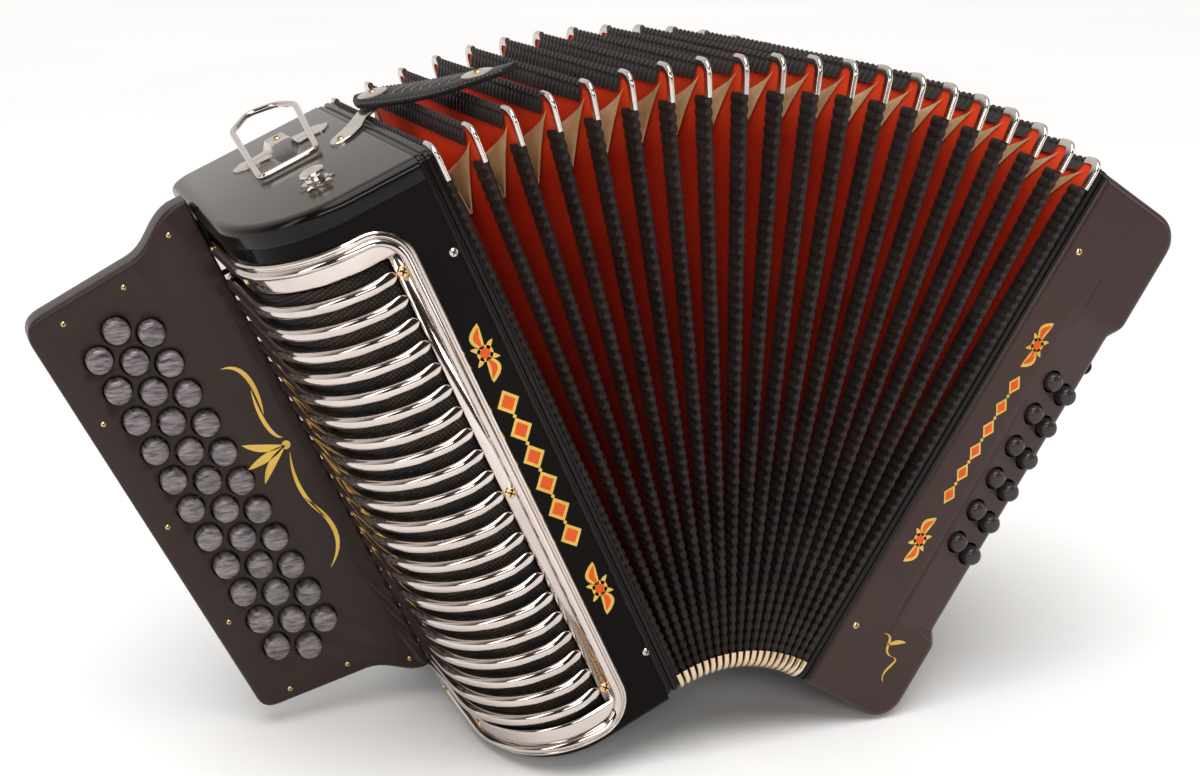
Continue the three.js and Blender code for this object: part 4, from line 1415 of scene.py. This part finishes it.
def hand_strap_line(t):
    """The hand strap's inner face, t from the lower foot (0) to the upper foot (1), as (x, z)."""
    face, bottom, top, rise, foot = BASS_WIDTH + 0.3, 36.0, 262.0, 31.0, 18.0
    if t < 0.1:
        return Vector((face, bottom + foot * t / 0.1))
    if t > 0.9:
        return Vector((face, top - foot * (1 - t) / 0.1))
    k = (t - 0.1) / 0.8
    a, d = Vector((face, bottom + foot)), Vector((face, top - foot))
    b, c = Vector((face + rise, bottom + 2 * foot)), Vector((face + rise, top - 2 * foot))
    return a * (1 - k) ** 3 + b * 3 * k * (1 - k) ** 2 + c * 3 * k * k * (1 - k) + d * k ** 3


def hand_strap(steps=80):
    """The hand strap's leather, with a groove beside each edge, and its stitches and plates."""
    edge = ((0, 1.35), (0.85, 1.1), (0.9, 0.92), (0.97, 1.0), (1, 0.8), (1, 0.1), (0.96, 0))
    section = [(-side, rise) for side, rise in edge[:0:-1]] + list(edge)
    rings, seams = [], [[], []]
    for i in range(steps + 1):
        t = i / steps
        here = hand_strap_line(t)
        along = (hand_strap_line(min(t + 0.01, 1)) - hand_strap_line(max(t - 0.01, 0))).normalized()
        here = Vector((here.x, HAND_STRAP_Y, here.y))
        out = Vector((along.y, 0, -along.x))
        half = 31 * (0.62 + 0.38 * smooth(min(t, 1 - t) / 0.28))
        rings.append([here + DEEP * side * half + out * rise * STRAP_THICK for side, rise in section])
        for seam, side in zip(seams, (-1, 1)):
            seam.append((here + DEEP * side * half * 0.9 + out * STRAP_THICK * 0.96, out))
    verts, faces = loft(rings)
    strap = piece("hand_strap_leather", verts, faces, BASS, HIDE, "bass", sharp=50)
    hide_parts("hand_strap")
    hand_strap_stitches(seams)
    hand_strap_plates()


def hand_strap_stitches(seams):
    stitches = []
    for seam in seams:
        for (a, up), (b, _) in zip(seam[2:-3], seam[3:-2]):
            path = [a, between(a, b, 0.35) + up * 0.25, between(a, b, 0.7)]
            stitches.append(sweep(path, round_profile(0.3, 6), [up] * 3))
    verts, faces, _ = combine(stitches)
    piece("hand_strap_stitches", verts, faces, BASS, THREAD, "bass", sharp=70)


def hand_strap_plates():
    x = BASS_WIDTH + 3.7
    plates, heads = [], []
    for z0, z1 in ((39, 51), (247, 259)):
        rect = rounded_rect(HAND_STRAP_Y - 17, HAND_STRAP_Y + 17, z0, z1, 5)
        small = rounded_rect(HAND_STRAP_Y - 16, HAND_STRAP_Y + 16, z0 + 1, z1 - 1, 4.2)
        layers = ((rect, 0), (rect, 1.1), (small, 1.6))
        plates.append(loft([[Vector((x + rise, y, z)) for y, z in outline] for outline, rise in layers]))
        heads += [((x + 1.6, HAND_STRAP_Y + offset, (z0 + z1) / 2), (1, 0, 0)) for offset in (-11, 11)]
    verts, faces, _ = combine(plates)
    piece("hand_strap_plates", verts, faces, BASS, NICKEL, "bass", sharp=35)
    screws("hand_strap_screws", heads, BASS, "bass", BRASS, radius=2.4)


def air_button():
    centre = local(BASS, node_centre("air_button"))
    profile = [(0.01, -8), (5.6, -8), (6.0, -7.4), (6.0, 5.4), (5.5, 6.8), (4.2, 7.7), (2.2, 8.0),
               (0.01, 8.0)]
    verts, faces = lathe(profile, centre, (1, 0, 0), 36)
    knob = piece("air_knob", verts, faces, BASS, NICKEL, "air_button", sharp=50)
    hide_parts("air_button")


def case_hardware():
    """Screws on the front strip and on both backs."""
    strip = [((-11.3, 0, 254.7), (0, -1, 0)), ((-9.4, 0, 28), (0, -1, 0))]
    screws("strip_screws", strip, TREBLE, "treble", radius=2.1)
    backs = [((x, DEPTH, z), (0, 1, 0)) for x in (-16, -80) for z in (14, 100, 190, 276)]
    screws("treble_back_screws", backs, TREBLE, "treble", radius=2.6)
    backs = [((x, DEPTH, z), (0, 1, 0)) for x in (18, 60) for z in (14, 150, 284)]
    screws("bass_back_screws", backs, BASS, "bass", radius=2.6)


# ---------------------------------------------------------------- stage

def studio():
    floor = piece("floor", [(-9, -6, 0), (9, -6, 0), (9, 12, 0), (-9, 12, 0)], [(0, 1, 2, 3)], Matrix(),
                  floor_paint("pale_floor"))
    backdrop()
    soft_sun("top_light", (0.12, 0.3, -1), 2.3, 50)
    lamp("front_box", (-0.7, -2.3, 1.15), (0, 0, 0.15), 2.2, 0.5, 22, (1, 0.98, 0.96))
    lamp("side_box", (-2.0, -0.5, 0.9), (0, 0, 0.2), 0.5, 1.2, 7, (1, 0.98, 0.96))
    lamp("right_box", (2.0, -0.9, 0.9), (0, 0, 0.2), 0.6, 1.2, 9, (1, 0.97, 0.94))


def backdrop():
    """A dim room with a bright wall behind the instrument and a soft patch overhead."""
    world = bpy.data.worlds.new("studio")
    bpy.context.scene.world = world
    world.use_nodes = True
    nodes, links = world.node_tree.nodes, world.node_tree.links
    coords = nodes.new("ShaderNodeTexCoord")
    split = nodes.new("ShaderNodeSeparateXYZ")
    links.new(coords.outputs["Generated"], split.inputs[0])

    def glow(axis, low, high, strength):
        fade = nodes.new("ShaderNodeMapRange")
        fade.interpolation_type = "SMOOTHSTEP"
        fade.inputs["From Min"].default_value = low
        fade.inputs["From Max"].default_value = high
        fade.inputs["To Max"].default_value = strength
        links.new(split.outputs[axis], fade.inputs["Value"])
        return fade.outputs["Result"]

    both = nodes.new("ShaderNodeMath")
    both.operation = "MAXIMUM"
    links.new(glow("Y", -0.1, 0.6, 1.0), both.inputs[0])
    links.new(glow("Z", 0.55, 1.0, 0.5), both.inputs[1])
    ramp = nodes.new("ShaderNodeValToRGB")
    ramp.color_ramp.elements[0].color = (0.035, 0.03, 0.028, 1)
    ramp.color_ramp.elements[1].color = (0.82, 0.80, 0.78, 1)
    links.new(both.outputs[0], ramp.inputs["Fac"])
    links.new(ramp.outputs["Color"], nodes["Background"].inputs["Color"])


def soft_sun(name, direction, strength, spread):
    data = bpy.data.lights.new(name, "SUN")
    data.energy = strength
    data.angle = math.radians(spread)
    obj = bpy.data.objects.new(name, data)
    obj.rotation_euler = Vector(direction).to_track_quat("-Z", "Y").to_euler()
    bpy.context.scene.collection.objects.link(obj)


def lamp(name, spot, target, width, height, watts, colour):
    data = bpy.data.lights.new(name, "AREA")
    data.shape = "RECTANGLE"
    data.size, data.size_y = width, height
    data.energy = watts
    data.color = colour
    obj = bpy.data.objects.new(name, data)
    obj.location = spot
    obj.rotation_euler = (Vector(target) - Vector(spot)).to_track_quat("-Z", "Y").to_euler()
    bpy.context.scene.collection.objects.link(obj)


def camera():
    """The photograph's view, aimed at a point in the bellows and rolled a little about the apex."""
    flat = math.cos(CAMERA_ELEVATION)
    across, away = math.sin(CAMERA_AZIMUTH) * flat, -math.cos(CAMERA_AZIMUTH) * flat
    back = Vector((across, away, math.sin(CAMERA_ELEVATION)))
    target = APEX + Vector((-71.33, 0, 219.0)) * MM
    data = bpy.data.cameras.new("camera")
    data.lens = 56.0
    data.sensor_width = 36
    data.clip_start = 0.01
    obj = bpy.data.objects.new("camera", data)
    aim = (-back).to_track_quat("-Z", "Y").to_matrix().to_4x4()
    placed = Matrix.Translation(target + back * CAMERA_DISTANCE) @ aim
    about_apex = Matrix.Translation(APEX) @ Matrix.Rotation(CAMERA_ROLL, 4, "Y") @ Matrix.Translation(-APEX)
    obj.matrix_world = about_apex @ placed
    bpy.context.scene.collection.objects.link(obj)
    bpy.context.scene.camera = obj


camera()
studio()
fold_pieces()
tapes()
caps()
end_frame("treble_frame", TREBLE, -1, "treble", HEIGHT)
end_frame("bass_frame", BASS, 1, "bass", HEIGHT - 2)
treble_body()
louvers()
grille_rim()
grille_net()
fingerboard()
buttons()
bass_body()
bass_buttons()
air_button()
ornaments()
strap_ring()
ring_saddle()
snap_stud()
strap_clip()
closing_strap()
hand_strap()
case_hardware()

for node_name in ("treble_reed_block", "bass_reed_block"):
    node = frame["nodes"][node_name]
    node.data.materials.clear()
    node.data.materials.append(BEECH)

bpy.context.scene.view_settings.view_transform = "Standard"
